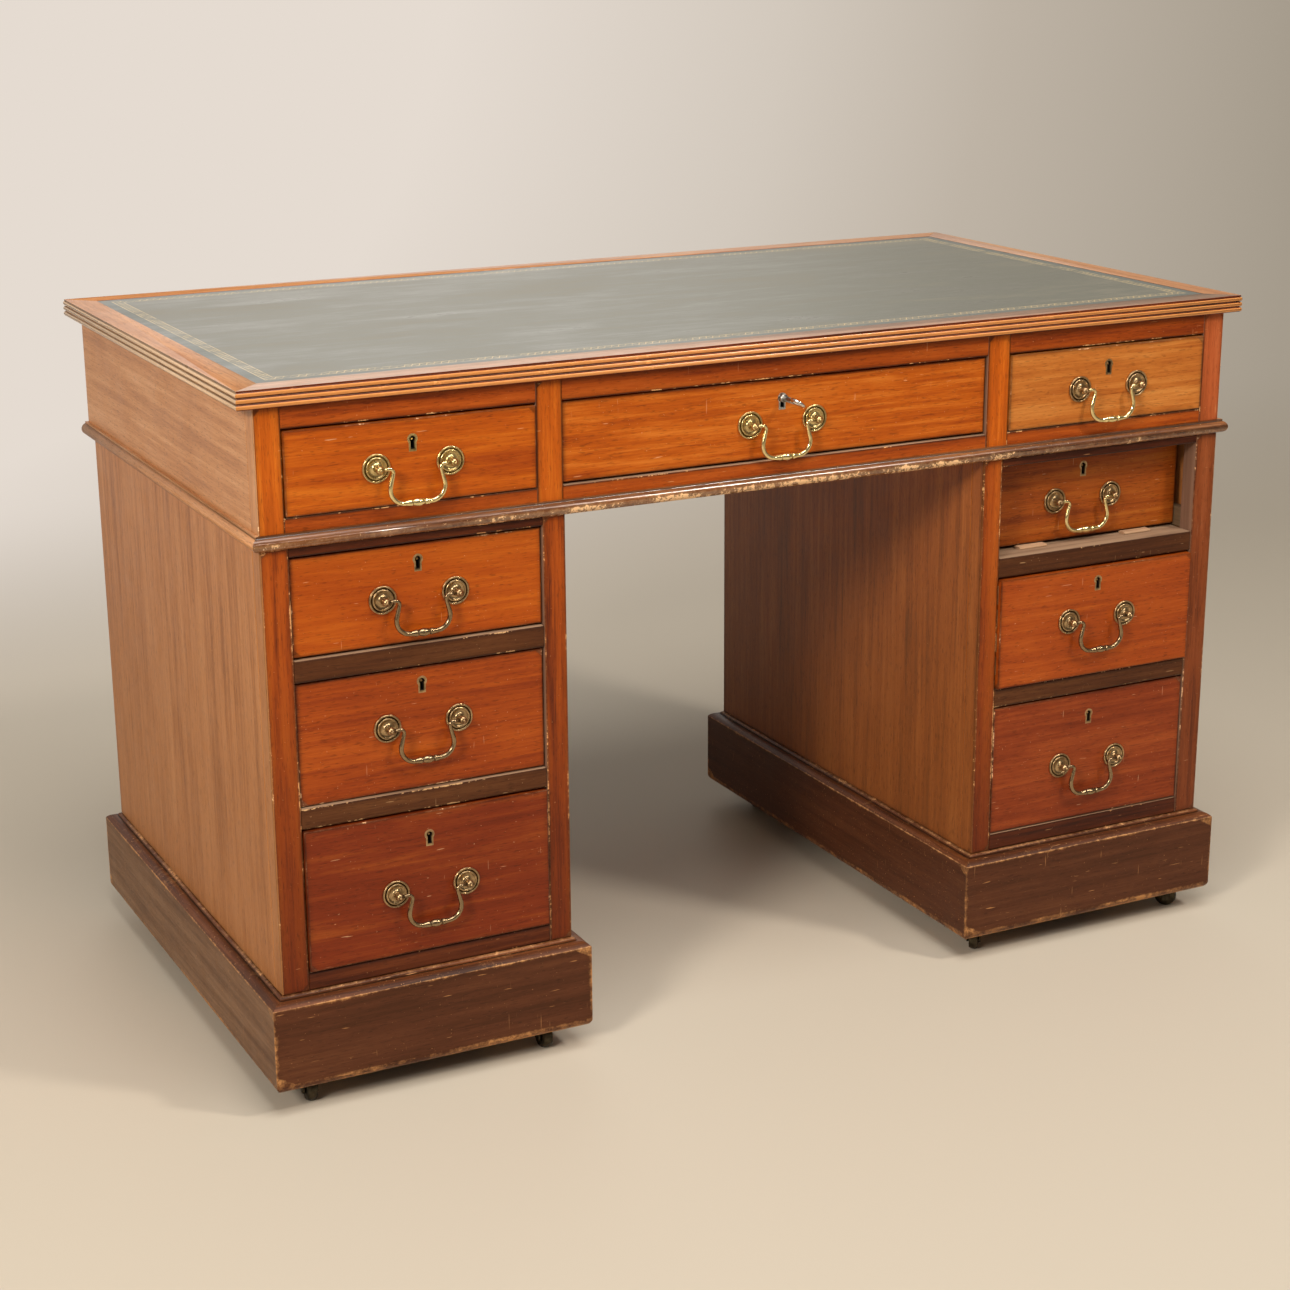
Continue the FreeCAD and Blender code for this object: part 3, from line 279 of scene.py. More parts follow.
def mark_hollows(bm):
    """Writes to each vertex how far a neighbour stands above it: 0 flat, 1 a groove. A
    groove's darkening, which is dirt and painted shade on wood and tarnish on metal,
    also spreads to the vertices close beside it."""
    flat, steepness, spread, share = 0.12, 1.9, 0.0025, 0.55
    hollow = bm.verts.layers.float["hollow"]
    bm.normal_update()
    rise = {}
    for v in bm.verts:
        slopes = [(e.other_vert(v).co - v.co).normalized().dot(v.normal)
                  for e in v.link_edges if e.calc_length() > 1e-7]
        rise[v] = min(1.0, max(0.0, max(slopes, default=0.0) - flat) * steepness)
    for v in bm.verts:
        near = [rise[e.other_vert(v)] for e in v.link_edges if e.calc_length() < spread]
        v[hollow] = max(rise[v], share * max(near, default=0.0))


def eased(bm, arris, margin):
    """Rounds the boards' long arrises, and cuts a line on each face a margin inside."""
    shortest, thinnest = 0.017, 0.008
    sharp = [e for e in bm.edges if e.is_manifold and e.is_convex
             and math.radians(40) < e.calc_face_angle() < math.radians(100)
             and e.calc_length() > shortest]
    bmesh.ops.bevel(bm, geom=sharp, offset=arris, offset_type="OFFSET", segments=2,
                    profile=0.5, affect="EDGES", clamp_overlap=True, material=-1)
    for faces, low, high in boards_of(bm):
        for axis in range(3):
            size = high[axis] - low[axis]
            if size < thinnest:
                continue
            inside = min(margin, size / 3)
            for level in (low[axis] + inside, high[axis] - inside):
                normal = Vector([float(axis == i) for i in range(3)])
                parts = list(dict.fromkeys(g for f in faces
                                           for g in (*f.verts, *f.edges, f)))
                cut = bmesh.ops.bisect_plane(bm, geom=parts, dist=1e-6,
                                             plane_co=normal * level, plane_no=normal)
                faces = [g for g in cut["geom"] if isinstance(g, bmesh.types.BMFace)]


def dressed(node, materials, finish=lambda face, low, high: 0, arris=0.0012,
            margin=0.008, upright=9.0, exposed=on_arris, moulded=False, turned=False,
            cuts=()):
    """A piece that stands for a CAD node: its solids welded, the arrises of its boards
    eased, each board marked for its grain, and each face given its finish, which is a
    place in the list of materials. The grain of a board taller than upright stands.
    Turned pieces keep their shape and are shaded smooth instead. A moulded piece darkens
    in its hollows, as a turned one does, with dirt and painted shade on wood and tarnish
    on metal, and cuts are where its wear changes along it."""
    bm = bmesh.new()
    bm.from_mesh(nodes[node].data)
    bm.faces.layers.int.new("board")
    bm.faces.layers.float.new("tone")
    bm.verts.layers.float.new("edge")
    bm.verts.layers.float.new("hollow")
    bm.verts.layers.float_vector.new("grain")
    number_solids(bm)
    for faces, low, high in boards_of(bm):
        corners = list(dict.fromkeys(v for face in faces for v in face.verts))
        bmesh.ops.remove_doubles(bm, verts=corners, dist=1e-6)
    if not turned:
        bmesh.ops.dissolve_limit(bm, angle_limit=math.radians(1.0), verts=bm.verts,
                                 edges=bm.edges)
        eased(bm, arris, margin)
    for level in cuts:
        bmesh.ops.bisect_plane(bm, geom=[*bm.verts, *bm.edges, *bm.faces], dist=1e-6,
                               plane_co=(level, 0.0, 0.0), plane_no=(1.0, 0.0, 0.0))
    mark_boards(bm, upright, exposed, seed=sum(map(ord, node)))
    if moulded or turned:
        mark_hollows(bm)
    for faces, low, high in boards_of(bm):
        for face in faces:
            face.material_index = finish(face, low, high)
            face.smooth = turned
    many_sided = [face for face in bm.faces if len(face.verts) > 4]
    bmesh.ops.triangulate(bm, faces=many_sided)
    mesh = bpy.data.meshes.new(node + "_dressed")
    bm.to_mesh(mesh)
    bm.free()
    if turned:
        mesh.set_sharp_from_angle(angle=math.radians(38))
    for material in materials:
        mesh.materials.append(material)
    piece = bpy.data.objects.new(node + "_dressed", mesh)
    bpy.context.scene.collection.objects.link(piece)
    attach(piece, body_of[node])
    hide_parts(node)
    return piece


stained, rubbed_slope, corner_block, faded_and_lit_end = range(4)
plinth_foot = 0.0095
plinth_slope = 0.0086
plinth_wood = mahogany("dark stained mahogany plinth", "#44230F", "#532C17", "#60371E",
                       "#B47E4C", chips=1.1, rubbed=0.5, grime_and_shade=0.1, rough=0.48,
                       shine=0.2, marks=1.6)
slope_wood = mahogany("rubbed mahogany plinth moulding", "#3A1C0C", "#5C3014",
                      "#7A4624", "#CC9664", chips=1.4, rubbed=0.4, grime_and_shade=0.0, soil_and_shade=1.0,
                      rough=0.46, shine=0.25, marks=1.8)
faded_and_lit_plinth_end = mahogany("faded mahogany plinth end", "#5E3E28", "#76543A", "#8A684C",
                      "#C08A56", chips=1.1, rubbed=0.4, grime_and_shade=0.1, rough=0.48,
                      marks=1.5)
deal = raw_wood("planed deal", "#8A6A48", "#B8966A")


def plinth_wear(place, low, high):
    """The corners, the face's top under the slope, the bead, and the rounded foot."""
    kicked, bead, line = 0.004, 0.0012, 0.0006
    if abs(place.z - high.z + plinth_slope) < line:
        return 0.97
    if place.z < low.z + plinth_foot:
        return 1.0 if place.z < low.z + kicked else 0.92
    if place.z > high.z - plinth_slope:
        return 0.85 if place.z > high.z - bead else 0.72
    return on_arris(place, low, high)


def plinth_finish(face, low, high):
    """Corner blocks are deal, the slope and the bead are rubbed, and the left end, which
    faces a window, has faded and is painted paler as the lit side."""
    block_height, left_end = 0.05, -0.5
    if high.z - low.z < block_height:
        return corner_block
    if face.calc_center_median().z > high.z - plinth_slope:
        return rubbed_slope
    return faded_and_lit_end if high.x < left_end and face.normal.x < -0.5 else stained


for side in ("left", "right"):
    dressed(side + "_plinth", [plinth_wood, slope_wood, deal, faded_and_lit_plinth_end],
            plinth_finish, margin=0.02, exposed=plinth_wear, moulded=True)


# --------------------------------------------------------------------- pedestal carcases
# Two mahogany sides with upright grain, a top and a bottom board and a set-in back make
# each pedestal. Its front frame is tenoned together: orange-brown stiles, and dividing
# rails that have gone dark, with tops that the drawers have rubbed to bare wood.

faded_side = mahogany("faded mahogany side", "#985E30", "#B87A48", "#C68A58", "#E2B888",
                      chips=0.4, grime_and_shade=0.2, rough=0.42, marks=0.5, low_shade=0.45)
kneehole_side = mahogany("kneehole mahogany side", "#784622", "#A25A28", "#BA7036",
                         "#D0A068", chips=0.4, grime_and_shade=0.3, rough=0.4, marks=0.4, low_shade=0.6)
stile_wood = mahogany("polished mahogany stile", "#58200A", "#A2480F", "#B65A17",
                      "#D89A62", chips=0.7, rubbed=0.15, grime_and_shade=0.4, low_shade=0.8)
end_stile_wood = mahogany("red mahogany end stile", "#582812", "#84401C", "#96502A",
                          "#D0A078", chips=0.7, rubbed=0.15, grime_and_shade=0.4, low_shade=0.4)
divider_wood = mahogany("dark mahogany dividing rail", "#381A0A", "#502B13", "#643C1E",
                        "#C49A6C", chips=0.6, grime_and_shade=0.25, rough=0.45)
# The top and bottom rails are darker partly as painted shade, under the waist moulding
# and above the plinth.
end_rail_wood_and_shade = mahogany("dark red mahogany rail, with painted shade", "#321206", "#52220C", "#6C3416",
                         "#C08A58", chips=0.4, grime_and_shade=0.4)
rubbed_wood = raw_wood("rubbed rail top", "#75573E", "#A5866A")
jamb_wood = raw_wood("unpolished stile face", "#6A4A36", "#8E6A54")
back_wood = mahogany("thinly polished back board", "#55290E", "#713D18", "#8C5430",
                     "#A9784C", chips=0.2, grime_and_shade=0.3, rough=0.55, marks=0.3)


outer_side, inner_side, level_board = range(3)
case_low, case_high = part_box("right_pedestal_case")


def case_finish(face, low, high):
    """The outer side has faded, the kneehole side less. The level boards are deal."""
    level_height, middle = 0.1, 0.5
    if high.z - low.z < level_height:
        return level_board
    return outer_side if max(abs(low.x), abs(high.x)) > middle else inner_side


glued = 0.003


def case_wear(place, low, high):
    """Every arris of a side but the front one, which is glued behind a stile."""
    return on_arris(place, low, high) if place.y > low.y + glued else 0.0


def frame_wear(place, low, high):
    """Every arris of the frame that isn't glued to a side."""
    return on_arris(place, low, high) if place.y < high.y - glued else 0.0


(stile, divider, drawer_ledge, end_rail, jamb, flush_outside, flush_inside,
 end_stile) = range(8)


def frame_finish(face, low, high):
    """Stiles are polished but for the faces that the drawers run between, redder at the
    right end, and look like the sides where they are flush with them. The dividing rails
    are dark, their tops rubbed by the drawers, and the end rails dark red."""
    flush, right_end, top_rail, divider_depth = 0.001, 0.5, 0.7, 0.04
    if high.z - low.z > high.x - low.x:
        out = abs(face.calc_center_median().x)
        if abs(out - case_high.x) < flush:
            return flush_outside
        if abs(out - case_low.x) < flush:
            return flush_inside
        if abs(face.normal.x) > 0.9:
            return jamb
        return end_stile if low.x > right_end else stile
    if face.normal.z > 0.9 and low.z < top_rail:
        return drawer_ledge
    return divider if high.y - low.y > divider_depth else end_rail


for side in ("left", "right"):
    dressed(side + "_pedestal_case", [faded_side, kneehole_side, deal], case_finish,
            upright=0.3, exposed=case_wear)
    dressed(side + "_pedestal_frame",
            [stile_wood, divider_wood, rubbed_wood, end_rail_wood_and_shade, jamb_wood, faded_side,
             kneehole_side, end_stile_wood], frame_finish, arris=0.0015, upright=0.3,
            exposed=frame_wear)
dressed("back_panels", [back_wood], upright=0.3)


# ------------------------------------------------------------------------------- castors
# Eight small plate castors, screwed under the corner blocks: a round plate with a pivot,
# a cast fork with a riveted axle, and a solid wheel. All are brass gone almost black.

def old_metal(name, dull, bright, rough, clouded=0.25):
    """Cast and turned metal: tarnish in clouds of 5 mm and in every hollow, over metal
    that hands have kept bright, with a fine casting grit of 1 mm."""
    material = empty_material(name)
    tree = material.node_tree
    place = add_node(tree, "TexCoord", {}, "Object")
    hollow = add_node(tree, "Attribute", {}, "Fac", attribute_name="hollow")
    clouds = add_node(tree, "TexNoise", {"Vector": place, "Scale": 200.0,
                                         "Detail": 4.0})
    grit = add_node(tree, "TexNoise", {"Vector": place, "Scale": 1000.0, "Detail": 1.0})
    tarnish = add_node(tree, "MapRange", {0: clouds, 1: 0.4, 2: 0.7, 3: 0.0,
                                           4: clouded})
    tarnish = add_node(tree, "Math", {0: hollow, 1: 0.9, 2: tarnish}, use_clamp=True,
                       operation="MULTIPLY_ADD")
    colour = add_node(tree, "Mix", {0: tarnish, 6: bright, 7: dull}, 2,
                      data_type="RGBA")
    roughness = add_node(tree, "Math", {0: tarnish, 1: 0.2, 2: rough},
                         operation="MULTIPLY_ADD")
    bump = add_node(tree, "Bump", {"Height": grit, "Strength": 0.1, "Distance": 0.0002})
    metal = add_node(tree, "BsdfPrincipled", {
        "Base Color": colour, "Metallic": 1.0, "Roughness": roughness, "Normal": bump})
    add_node(tree, "OutputMaterial", {"Surface": metal})
    return material


castor_brass = old_metal("blackened castor brass", "#1C1814", "#4C4436", 0.4, 0.6)
dressed("castor_plates", [castor_brass], turned=True)
for node in nodes:
    if node.endswith("_fork") or node.endswith("_wheel"):
        dressed(node, [castor_brass], turned=True)


# -------------------------------------------------------------------------------- frieze
# The top section's front is a tenoned mahogany frame round three drawers, and its two
# ends are boards with level grain. The half-round waist moulding is glued on below them
# and hides where the section sits on the pedestals. It is knocked bare in front.

frieze_stile = mahogany("polished mahogany frieze stile", "#9A4408", "#BA580F",
                        "#D0701C", "#E4AE74", chips=0.5, grime_and_shade=0.5)
frieze_rail = mahogany("red mahogany frieze rail", "#782E0A", "#A0460E", "#B65A1A",
                       "#E4AE74", chips=0.6, grime_and_shade=0.5)
frieze_red = mahogany("red mahogany frieze stile", "#94461E", "#AE562C", "#C06A3E",
                      "#E4AE74", chips=0.6, grime_and_shade=0.35)
frieze_end = mahogany("faded mahogany end", "#B2784E", "#CC9060", "#DEA678", "#E8C8A0",
                      chips=0.4, grime_and_shade=0.15, rough=0.42, marks=0.45)
waist_wood = mahogany("dark waist moulding", "#3A1A08", "#744420", "#9C6438", "#F0C08A",
                      chips=1.3, rubbed=0.2, grime_and_shade=0.0, rough=0.22, shine=0.9,
                      marks=1.3)


def waist_wear(place, low, high):
    """The bead's lower half, most of all over the kneehole, where chairs strike it."""
    kneehole = case_low.x + 0.01
    struck = 0.95 if abs(place.x) < kneehole else 0.86
    height = (place.z - low.z) / (high.z - low.z)
    return struck - 0.8 * max(0.0, height - 0.42)


def waist_finish(face, low, high):
    """The long front length has gone dark, and the two short ends have faded."""
    return 0 if high.x - low.x > 0.5 else 1


dressed("frieze_front_frame",
        [frieze_stile, frieze_rail, rubbed_wood, frieze_rail, jamb_wood, frieze_end,
         frieze_end, frieze_red], frame_finish, arris=0.001, exposed=frame_wear)
dressed("frieze_ends", [frieze_end], exposed=case_wear)
worn_change = 0.03
dressed("waist_moulding", [waist_wood, frieze_end], waist_finish, exposed=waist_wear,
        turned=True, cuts=(-case_low.x - worn_change, -case_low.x,
                           case_low.x, case_low.x + worn_change))

# Partitions, runners and guides are deal under old dust. The small stop blocks are
# cleaner beech.
dusty_deal = raw_wood("dusty deal runner", "#54402A", "#745A3C")
stop_wood = raw_wood("beech stop block", "#A8805E", "#CDAA88")
stop_length = 0.06
dressed("drawer_runners", [dusty_deal, stop_wood],
        lambda face, low, high: 1 if max(high - low) < stop_length else 0)


# ----------------------------------------------------------------------------------- top
# Four mitred mahogany lippings with three reeds worked along the edge frame a softwood
# panel. It is covered with dark green skiver, a thin split sheepskin, rubbed grey, and
# tooled all round with two gilt fillets and a small zigzag between them.

lipping_wood = mahogany("faded mahogany lipping", "#9E6238", "#BA7E50", "#CE9666",
                        "#E6C098", chips=0.3, grime_and_shade=0.3, marks=0.3, shine=0.3)
front_lipping_with_reflection = mahogany("mahogany lipping with a painted reflection", "#98705A", "#B0886E", "#C69C82",
                         "#EACAA4", chips=0.5, grime_and_shade=0.3, marks=0.5, shine=0.3)
reed_wood = mahogany("polished mahogany reeds", "#441806", "#68280A", "#8E4014",
                     "#F4A458", chips=0.3, rubbed=0.2, grime_and_shade=0.0, soil_and_shade=1.0, rough=0.24,
                     shine=0.5, crest=0.68)
faded_and_lit_reeds = mahogany("faded mahogany reeds, painted paler as lit", "#5A3E28", "#84623E", "#A47E56",
                       "#F0CEA8", chips=0.3, rubbed=0.2, grime_and_shade=0.0, soil_and_shade=1.0, rough=0.3,
                       shine=0.3, crest=0.72)
top_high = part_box("top_lipping")[1]
flat_top, reeds, left_reeds, front_top = range(4)


def lipping_finish(face, low, high):
    """The flat top has faded, and along the front it is painted paler and greyer as a
    reflection. The left end's reeds, which face a window, have faded and are painted
    paler as the lit side."""
    reed_depth = 0.006
    if face.normal.z > 0.9:
        return front_top if high.y < 0.0 else flat_top
    outer = face.calc_center_median().x < low.x + reed_depth
    return left_reeds if outer and high.x < 0.0 else reeds


def reed_wear_and_highlight(place, low, high):
    """The crests of the reeds, which carry wear and a painted highlight, and less the
    rest of the edge under the flat top.
    """
    crest, flat = 0.0007, 0.0005
    if min(top_high.x - abs(place.x), top_high.y - abs(place.y)) < crest:
        return 1.0
    return 0.72 if place.z < high.z - flat else 0.0


dressed("top_lipping", [lipping_wood, reed_wood, faded_and_lit_reeds, front_lipping_with_reflection],
        lipping_finish, exposed=reed_wear_and_highlight, turned=True)
dressed("top_panel", [deal])


def skiver():
    """Green skiver: grain cells of 1.2 mm, grey wear in long clouds, dust that lightens
    it at a low angle, and gilt drawn 0.9 mm wide because 0.4 mm is too fine to show."""
    material = empty_material("green skiver with gilt tooling")
    tree = material.node_tree
    low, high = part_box("writing_leather")
    place = add_node(tree, "TexCoord", {}, "Object")

    # Millimetres in from the nearest edge, and along it.
    centred = add_node(tree, "VectorMath", {0: place, 1: (low + high) / 2},
                       operation="SUBTRACT")
    mirrored = add_node(tree, "VectorMath", {0: centred}, operation="ABSOLUTE")
    gaps = add_node(tree, "VectorMath", {0: (high - low) / 2, 1: mirrored},
                    operation="SUBTRACT")
    gaps = add_node(tree, "VectorMath", {0: gaps, "Scale": 1000.0}, operation="SCALE")
    end_gap = add_node(tree, "SeparateXYZ", {0: gaps}, 0)
    side_gap = add_node(tree, "SeparateXYZ", {0: gaps}, 1)
    inset = add_node(tree, "Math", {0: end_gap, 1: side_gap}, operation="MINIMUM")
    run = add_node(tree, "Math", {0: end_gap, 1: side_gap}, operation="MAXIMUM")

    # Wear: broad clouds and long level streaks; the strip outside the gilt stays blue.
    worn = 0.0
    for scale, share in (((4, 9, 4), 0.38), ((6, 40, 6), 0.34), ((30, 220, 30), 0.28)):
        stretched = add_node(tree, "Mapping", {"Vector": place, "Scale": scale})
        noise = add_node(tree, "TexNoise", {"Vector": stretched, "Scale": 1.0,
                                            "Detail": 4.0, "Distortion": 0.6})
        worn = add_node(tree, "Math", {0: noise, 1: share, 2: worn},
                        operation="MULTIPLY_ADD")
    colour = add_node(tree, "ValToRGB", {"Fac": worn},
                      stops=[(0.38, "#353E38"), (0.5, "#464C43"), (0.62, "#68665A")])
    outside = add_node(tree, "MapRange", {0: inset, 1: 15.0, 2: 13.0, 3: 0.0, 4: 0.7})
    colour = add_node(tree, "Mix", {0: outside, 6: colour, 7: "#2E4448"}, 2,
                      data_type="RGBA")

    # Gilt: a fillet each side, and a zigzag of 8 mm pitch between them.
    wave = add_node(tree, "Math", {0: run, 1: 4.0}, operation="PINGPONG")
    wave = add_node(tree, "Math", {0: wave, 1: 1.9, 2: 15.7}, operation="MULTIPLY_ADD")
    gilt = 0.0
    for line, width in ((14.0, 0.5), (25.0, 0.5), (wave, 1.0)):
        away = add_node(tree, "Math", {0: inset, 1: line}, operation="SUBTRACT")
        away = add_node(tree, "Math", {0: away}, operation="ABSOLUTE")
        drawn = add_node(tree, "Math", {0: away, 1: width}, operation="LESS_THAN")
        gilt = add_node(tree, "Math", {0: gilt, 1: drawn}, operation="MAXIMUM")
    rubbed = add_node(tree, "TexNoise", {"Vector": place, "Scale": 60.0, "Detail": 3.0})
    left = add_node(tree, "MapRange", {0: rubbed, 1: 0.34, 2: 0.5, 3: 0.15, 4: 0.8})
    gilt = add_node(tree, "Math", {0: gilt, 1: left}, operation="MULTIPLY")
    colour = add_node(tree, "Mix", {0: gilt, 6: colour, 7: "#E6C88C"}, 2,
                      data_type="RGBA")

    cells = add_node(tree, "TexVoronoi", {"Vector": place, "Scale": 800.0})
    relief = add_node(tree, "Math", {0: cells, 1: gilt}, operation="SUBTRACT")
    bump = add_node(tree, "Bump", {"Height": relief, "Strength": 0.15,
                                   "Distance": 0.0003})
    rough = add_node(tree, "Math", {0: worn, 1: 0.8, 2: -0.02},
                     operation="MULTIPLY_ADD")
    leather = add_node(tree, "BsdfPrincipled", {
        "Base Color": colour, "Roughness": rough, "Normal": bump, "IOR": 1.5,
        "Sheen Weight": 0.3, "Sheen Roughness": 0.45, "Sheen Tint": "#DAD4C8"})
    add_node(tree, "OutputMaterial", {"Surface": leather})
    return material


nodes["writing_leather"].data.materials.clear()
nodes["writing_leather"].data.materials.append(skiver())


# ------------------------------------------------------------------------------- drawers
# Nine dovetailed drawers: mahogany fronts lapped over the sides, and sides, back and
# bottom of planed deal. Each front was cut from its own board. The lower fronts are
# darker and redder, partly as painted shade, and the recessed right upper front is
# darker as its painted shadow.

drawer_tones_and_shade = {
    "frieze_left": ("#963E08", "#B0520C", "#C46818"),
    "frieze_centre": ("#8C3808", "#B0540E", "#C87024"),
    "frieze_right": ("#A0541E", "#BA6C2A", "#CE8640"),
    "left_upper": ("#963C08", "#AA4C0C", "#BC5E14"),
    "left_middle": ("#7E300C", "#96400E", "#AC5216"),
    "left_lower": ("#66240A", "#762C0E", "#8C4014"),
    "right_upper": ("#78340E", "#984812", "#AE5E1C"),
    "right_middle": ("#84360E", "#9A4210", "#AE5418"),
    "right_lower": ("#6C280C", "#803412", "#94441A"),
}
# The walls of the bored holes are nearly black: some grease, and painted shade inside
# the holes.
bored_hole_shade = raw_wood("greasy wood in a bored hole, with painted shade", "#120A05", "#241509")


front_face = {name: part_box(name + "_drawer")[0].y for name in drawer_tones_and_shade}


def drawer_finish(name):
    """The front is polished, but not in its keyhole and bolt holes, whose walls are
    painted nearly black as shade. The rest is deal.
    """
    polished, planed, bored = range(3)
    behind, end_margin, level_margin = 0.001, 0.02, 0.01

    def finish(face, low, high):
        if low.y > front_face[name] + behind:
            return planed
        middle = face.calc_center_median()
        inside = (low.x + end_margin < middle.x < high.x - end_margin
                  and low.z + level_margin < middle.z < high.z - level_margin)
        return bored if inside and abs(face.normal.y) < 0.5 else polished
    return finish


for name, (dark, middle, light) in drawer_tones_and_shade.items():
    front_wood = mahogany("mahogany drawer front, " + name, dark, middle, light,
                          "#E2B284", chips=0.3, rubbed=0.1, grime_and_shade=0.4, curl=1.1,
                          marks=0.5)
    dressed(name + "_drawer", [front_wood, deal, bored_hole_shade], drawer_finish(name),
            arris=0.0008)


# ------------------------------------------------------------------------ brass fittings
# Each drawer has a pair of turned roses and posts with their nuts, a keyhole escutcheon
# and a cut lock. A swan-neck bail hangs by its pins between the posts' bored balls. The
# frieze handles are the most handled, and the rest have gone to bronze.

bright_brass = old_metal("aged frieze brass", "#806434", "#F0DA9E", 0.2)
olive_brass = old_metal("olive rose brass", "#5C481F", "#D8BE84", 0.26, 0.5)
bronzed_brass = old_metal("bronzed brass", "#3C2A18", "#BC9E74", 0.27, 0.5)
dark_brass = old_metal("blackened bail brass", "#30241A", "#9C8464", 0.24)
key_steel = old_metal("handled key steel", "#6A6660", "#E4E0D8", 0.22)
# The lock is darkened past its tarnish as painted shade, where it shows through the
# keyhole.
lock_brass_in_shade = old_metal("tarnished lock brass, with painted shade", "#16110B", "#4A3C26", 0.5, 0.6)
brass_of = {
    "frieze_left": (olive_brass, bright_brass),
    "frieze_centre": (olive_brass, bright_brass),
    "frieze_right": (bronzed_brass, bright_brass),
    "right_upper": (bronzed_brass, bright_brass),
}


def fitting_finish(name):
    """Turned roses and posts, the escutcheon plate, and the lock behind the front."""
    turned_brass, plate_metal, lock_metal = range(3)
    lock_depth, plate_thickness = 0.004, 0.0025

    def finish(face, low, high):
        if low.y > front_face[name] + lock_depth:
            return lock_metal
        return plate_metal if high.y - low.y < plate_thickness else turned_brass
    return finish


for name in drawer_tones_and_shade:
    rose_brass, bail_brass = brass_of.get(name, (bronzed_brass, dark_brass))
    plate = key_steel if name == "frieze_centre" else rose_brass
    dressed(name + "_fittings", [rose_brass, plate, lock_brass_in_shade], fitting_finish(name),
            turned=True)
    dressed(name + "_bail", [bail_brass], turned=True)


# ------------------------------------------------------------------------- key and bolt
# A steel barrel key with a ring bow stands part turned in the middle frieze drawer's
# lock, whose brass bolt rises into the rail above.

dressed("key", [key_steel], turned=True)
dressed("lock_bolt", [bronzed_brass], turned=True)


# -------------------------------------------------------------------------------- studio
# A pale floor that curves up into a pale wall, which glows with painted light, painted
# darker to the right, seen by the camera and in reflections. Soft lamps stand at
# the left, above, behind and at the front right, and the camera at the front left.

def studio_paper():
    """Matt floor paper. Behind the desk it glows with painted light, a gradient darker
    to the right that the camera and reflections see, however it is lit.
    """
    material = empty_material("pale studio paper with a glowing painted wall")
    tree = material.node_tree
    place = add_node(tree, "TexCoord", {}, "Object")
    across = add_node(tree, "VectorMath", {0: place, 1: (0.75, -0.66, 0.0)}, "Value",
                      operation="DOT_PRODUCT")
    back = add_node(tree, "SeparateXYZ", {0: place}, 1)
    across = add_node(tree, "MapRange", {0: across, 1: -2.2, 2: 0.7})
    colour = add_node(tree, "ValToRGB", {"Fac": across}, stops=[
        (0.05, "#E5DBD1"), (0.39, "#D2C8BC"), (0.62, "#BEB3A5"), (1.0, "#A59B8C")])
    # Painted light: the wall behind the desk glows in a painted gradient, darker to the
    # right.
    glowing_wall = add_node(tree, "Emission", {"Color": colour})
    floor = add_node(tree, "BsdfPrincipled", {"Base Color": "#CAC0B0",
                                              "Roughness": 0.6})
    seen = 0.0
    for ray in ("Is Camera Ray", "Is Glossy Ray", "Is Transmission Ray"):
        kind = add_node(tree, "LightPath", {}, ray)
        seen = add_node(tree, "Math", {0: seen, 1: kind}, operation="MAXIMUM")
    shown = add_node(tree, "MapRange", {0: back, 1: 0.8, 2: 2.6},
                     interpolation_type="SMOOTHSTEP")
    shown = add_node(tree, "Math", {0: shown, 1: seen}, operation="MULTIPLY")
    paper = add_node(tree, "MixShader", {0: shown, 1: floor, 2: glowing_wall})
    add_node(tree, "OutputMaterial", {"Surface": paper})
    return material


half_width, bend_start, bend_radius = 9.0, 4.0, 1.5
bm = bmesh.new()
ends = [bm.verts.new((x, bend_start, 0.0)) for x in (-half_width, half_width)]
line = bm.edges.new(ends)
bmesh.ops.spin(bm, geom=[*ends, line], cent=(0.0, bend_start, bend_radius),
               axis=(1.0, 0.0, 0.0), angle=math.radians(90), steps=12)
for height, move in ((0.0, (0.0, -11.0, 0.0)), (bend_radius, (0.0, 0.0, 5.0))):
    rim = [e for e in bm.edges
           if e.is_boundary and len({round(v.co.x) for v in e.verts}) > 1
           and abs(e.verts[0].co.z - height) < 0.001]
    grown = bmesh.ops.extrude_edge_only(bm, edges=rim)
    bmesh.ops.translate(bm, vec=move, verts=[g for g in grown["geom"]
                                             if isinstance(g, bmesh.types.BMVert)])
bmesh.ops.recalc_face_normals(bm, faces=bm.faces)
for face in bm.faces:
    face.smooth = True
mesh = bpy.data.meshes.new("studio_floor")
bm.to_mesh(mesh)
bm.free()
mesh.materials.append(studio_paper())
floor = bpy.data.objects.new("studio_floor", mesh)
bpy.context.scene.collection.objects.link(floor)


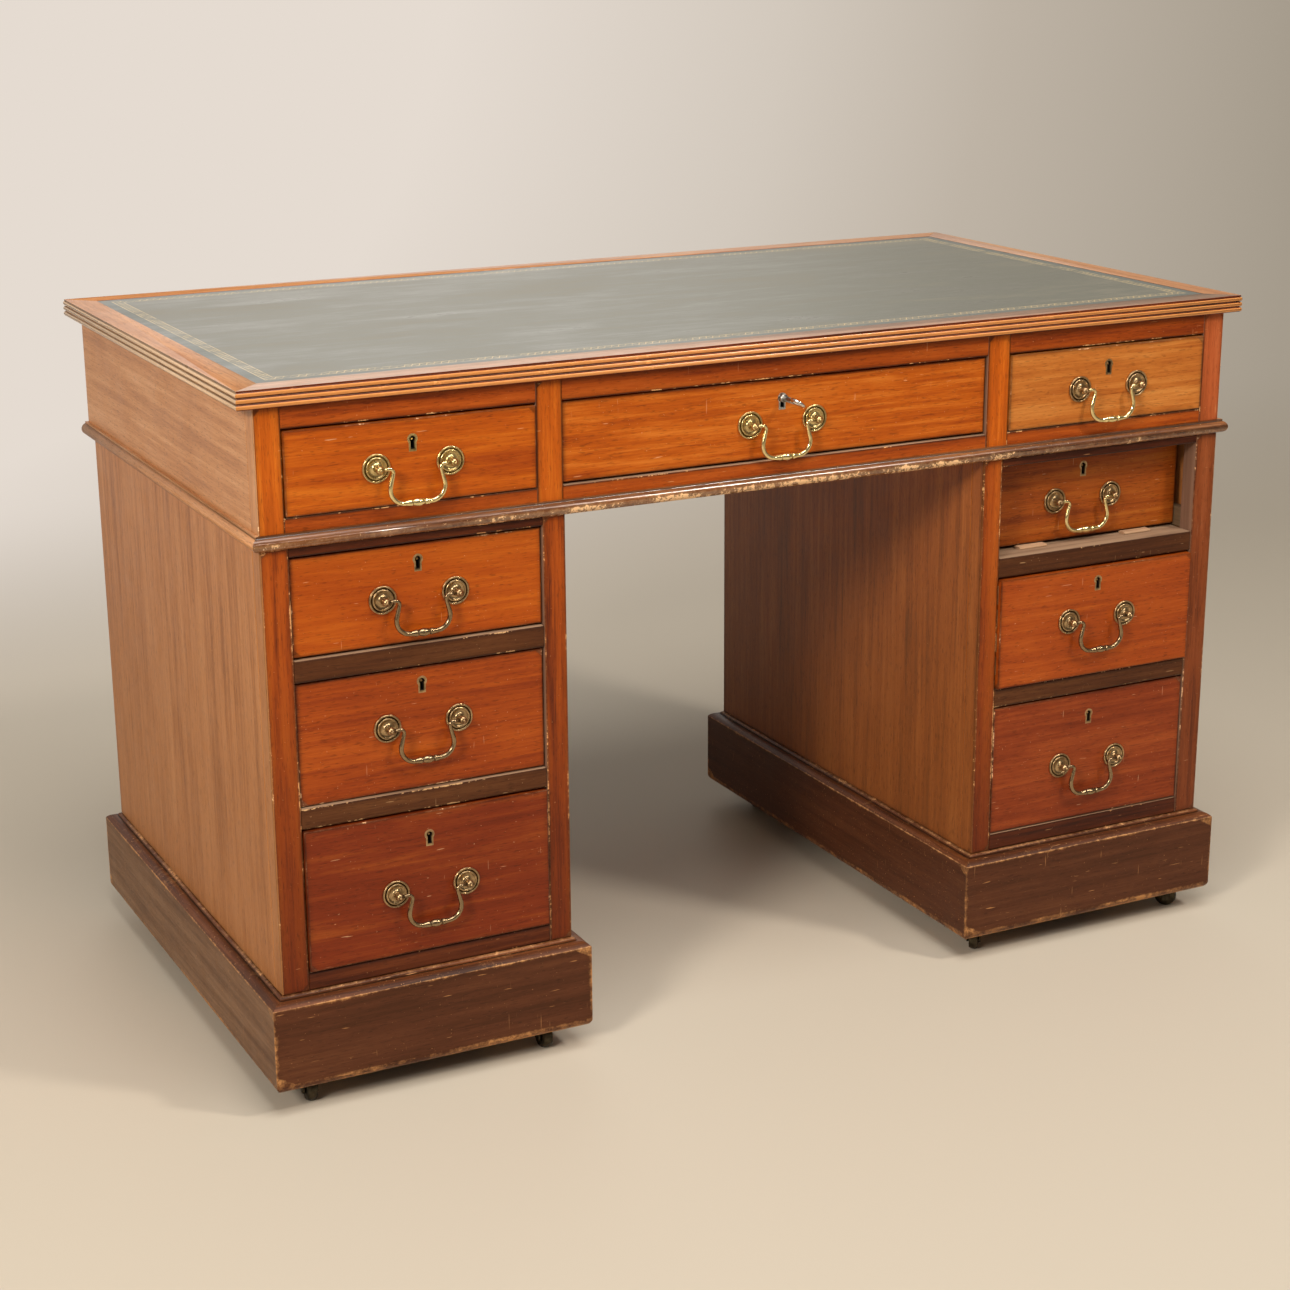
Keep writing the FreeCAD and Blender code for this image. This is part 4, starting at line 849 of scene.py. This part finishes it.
def soft_lamp(name, place, aim, size, power, colour):
    """A round lamp a size across, in metres, turned to what it is aimed at."""
    lamp = bpy.data.lights.new(name, "AREA")
    lamp.shape = "DISK"
    lamp.size = size
    lamp.energy = power
    lamp.color = linear(colour)[:3]
    holder = bpy.data.objects.new(name, lamp)
    holder.location = place
    beam = Vector(aim) - Vector(place)
    holder.rotation_euler = beam.to_track_quat("-Z", "Y").to_euler()
    bpy.context.scene.collection.objects.link(holder)


soft_lamp("window_lamp", (-3.4, -2.4, 2.4), (0.0, 0.0, 0.5), 1.0, 115.0, "#FFF6EA")
soft_lamp("ceiling_lamp", (-0.4, -1.5, 3.9), (0.0, 0.0, 0.4), 2.2, 88.0, "#FFFCF6")
soft_lamp("back_lamp", (1.4, 4.2, 2.6), (-0.2, 0.0, 0.7), 2.8, 16.0, "#FFFCF6")
soft_lamp("front_lamp", (1.7, -2.4, 3.1), (0.1, 0.0, 0.5), 0.5, 58.0, "#FFF6EA")

world = bpy.data.worlds.new("studio_air")
world.use_nodes = True
world.node_tree.nodes["Background"].inputs["Color"].default_value = linear("#F0EAE0")
world.node_tree.nodes["Background"].inputs["Strength"].default_value = 0.21
bpy.context.scene.world = world

# The camera's direction as turns about the vertical, downwards and about its own line.
azimuth, elevation, roll = (math.radians(a) for a in (-26.816, 16.806, -0.380))
ahead = Vector((-math.sin(azimuth) * math.cos(elevation),
                math.cos(azimuth) * math.cos(elevation), -math.sin(elevation)))
level = Vector((math.cos(azimuth), math.sin(azimuth), 0.0))
upward = level.cross(ahead)
right = level * math.cos(roll) + upward * math.sin(roll)
up = upward * math.cos(roll) - level * math.sin(roll)
lens = bpy.data.cameras.new("camera")
lens.sensor_width = 36.0
lens.lens = 69.53
camera = bpy.data.objects.new("camera", lens)
turned = Matrix((right, up, -ahead)).transposed().to_4x4()
camera.matrix_world = Matrix.Translation((-1.3203, -2.5784, 1.2216)) @ turned
bpy.context.scene.collection.objects.link(camera)
bpy.context.scene.camera = camera
bpy.context.scene.view_settings.view_transform = "Standard"
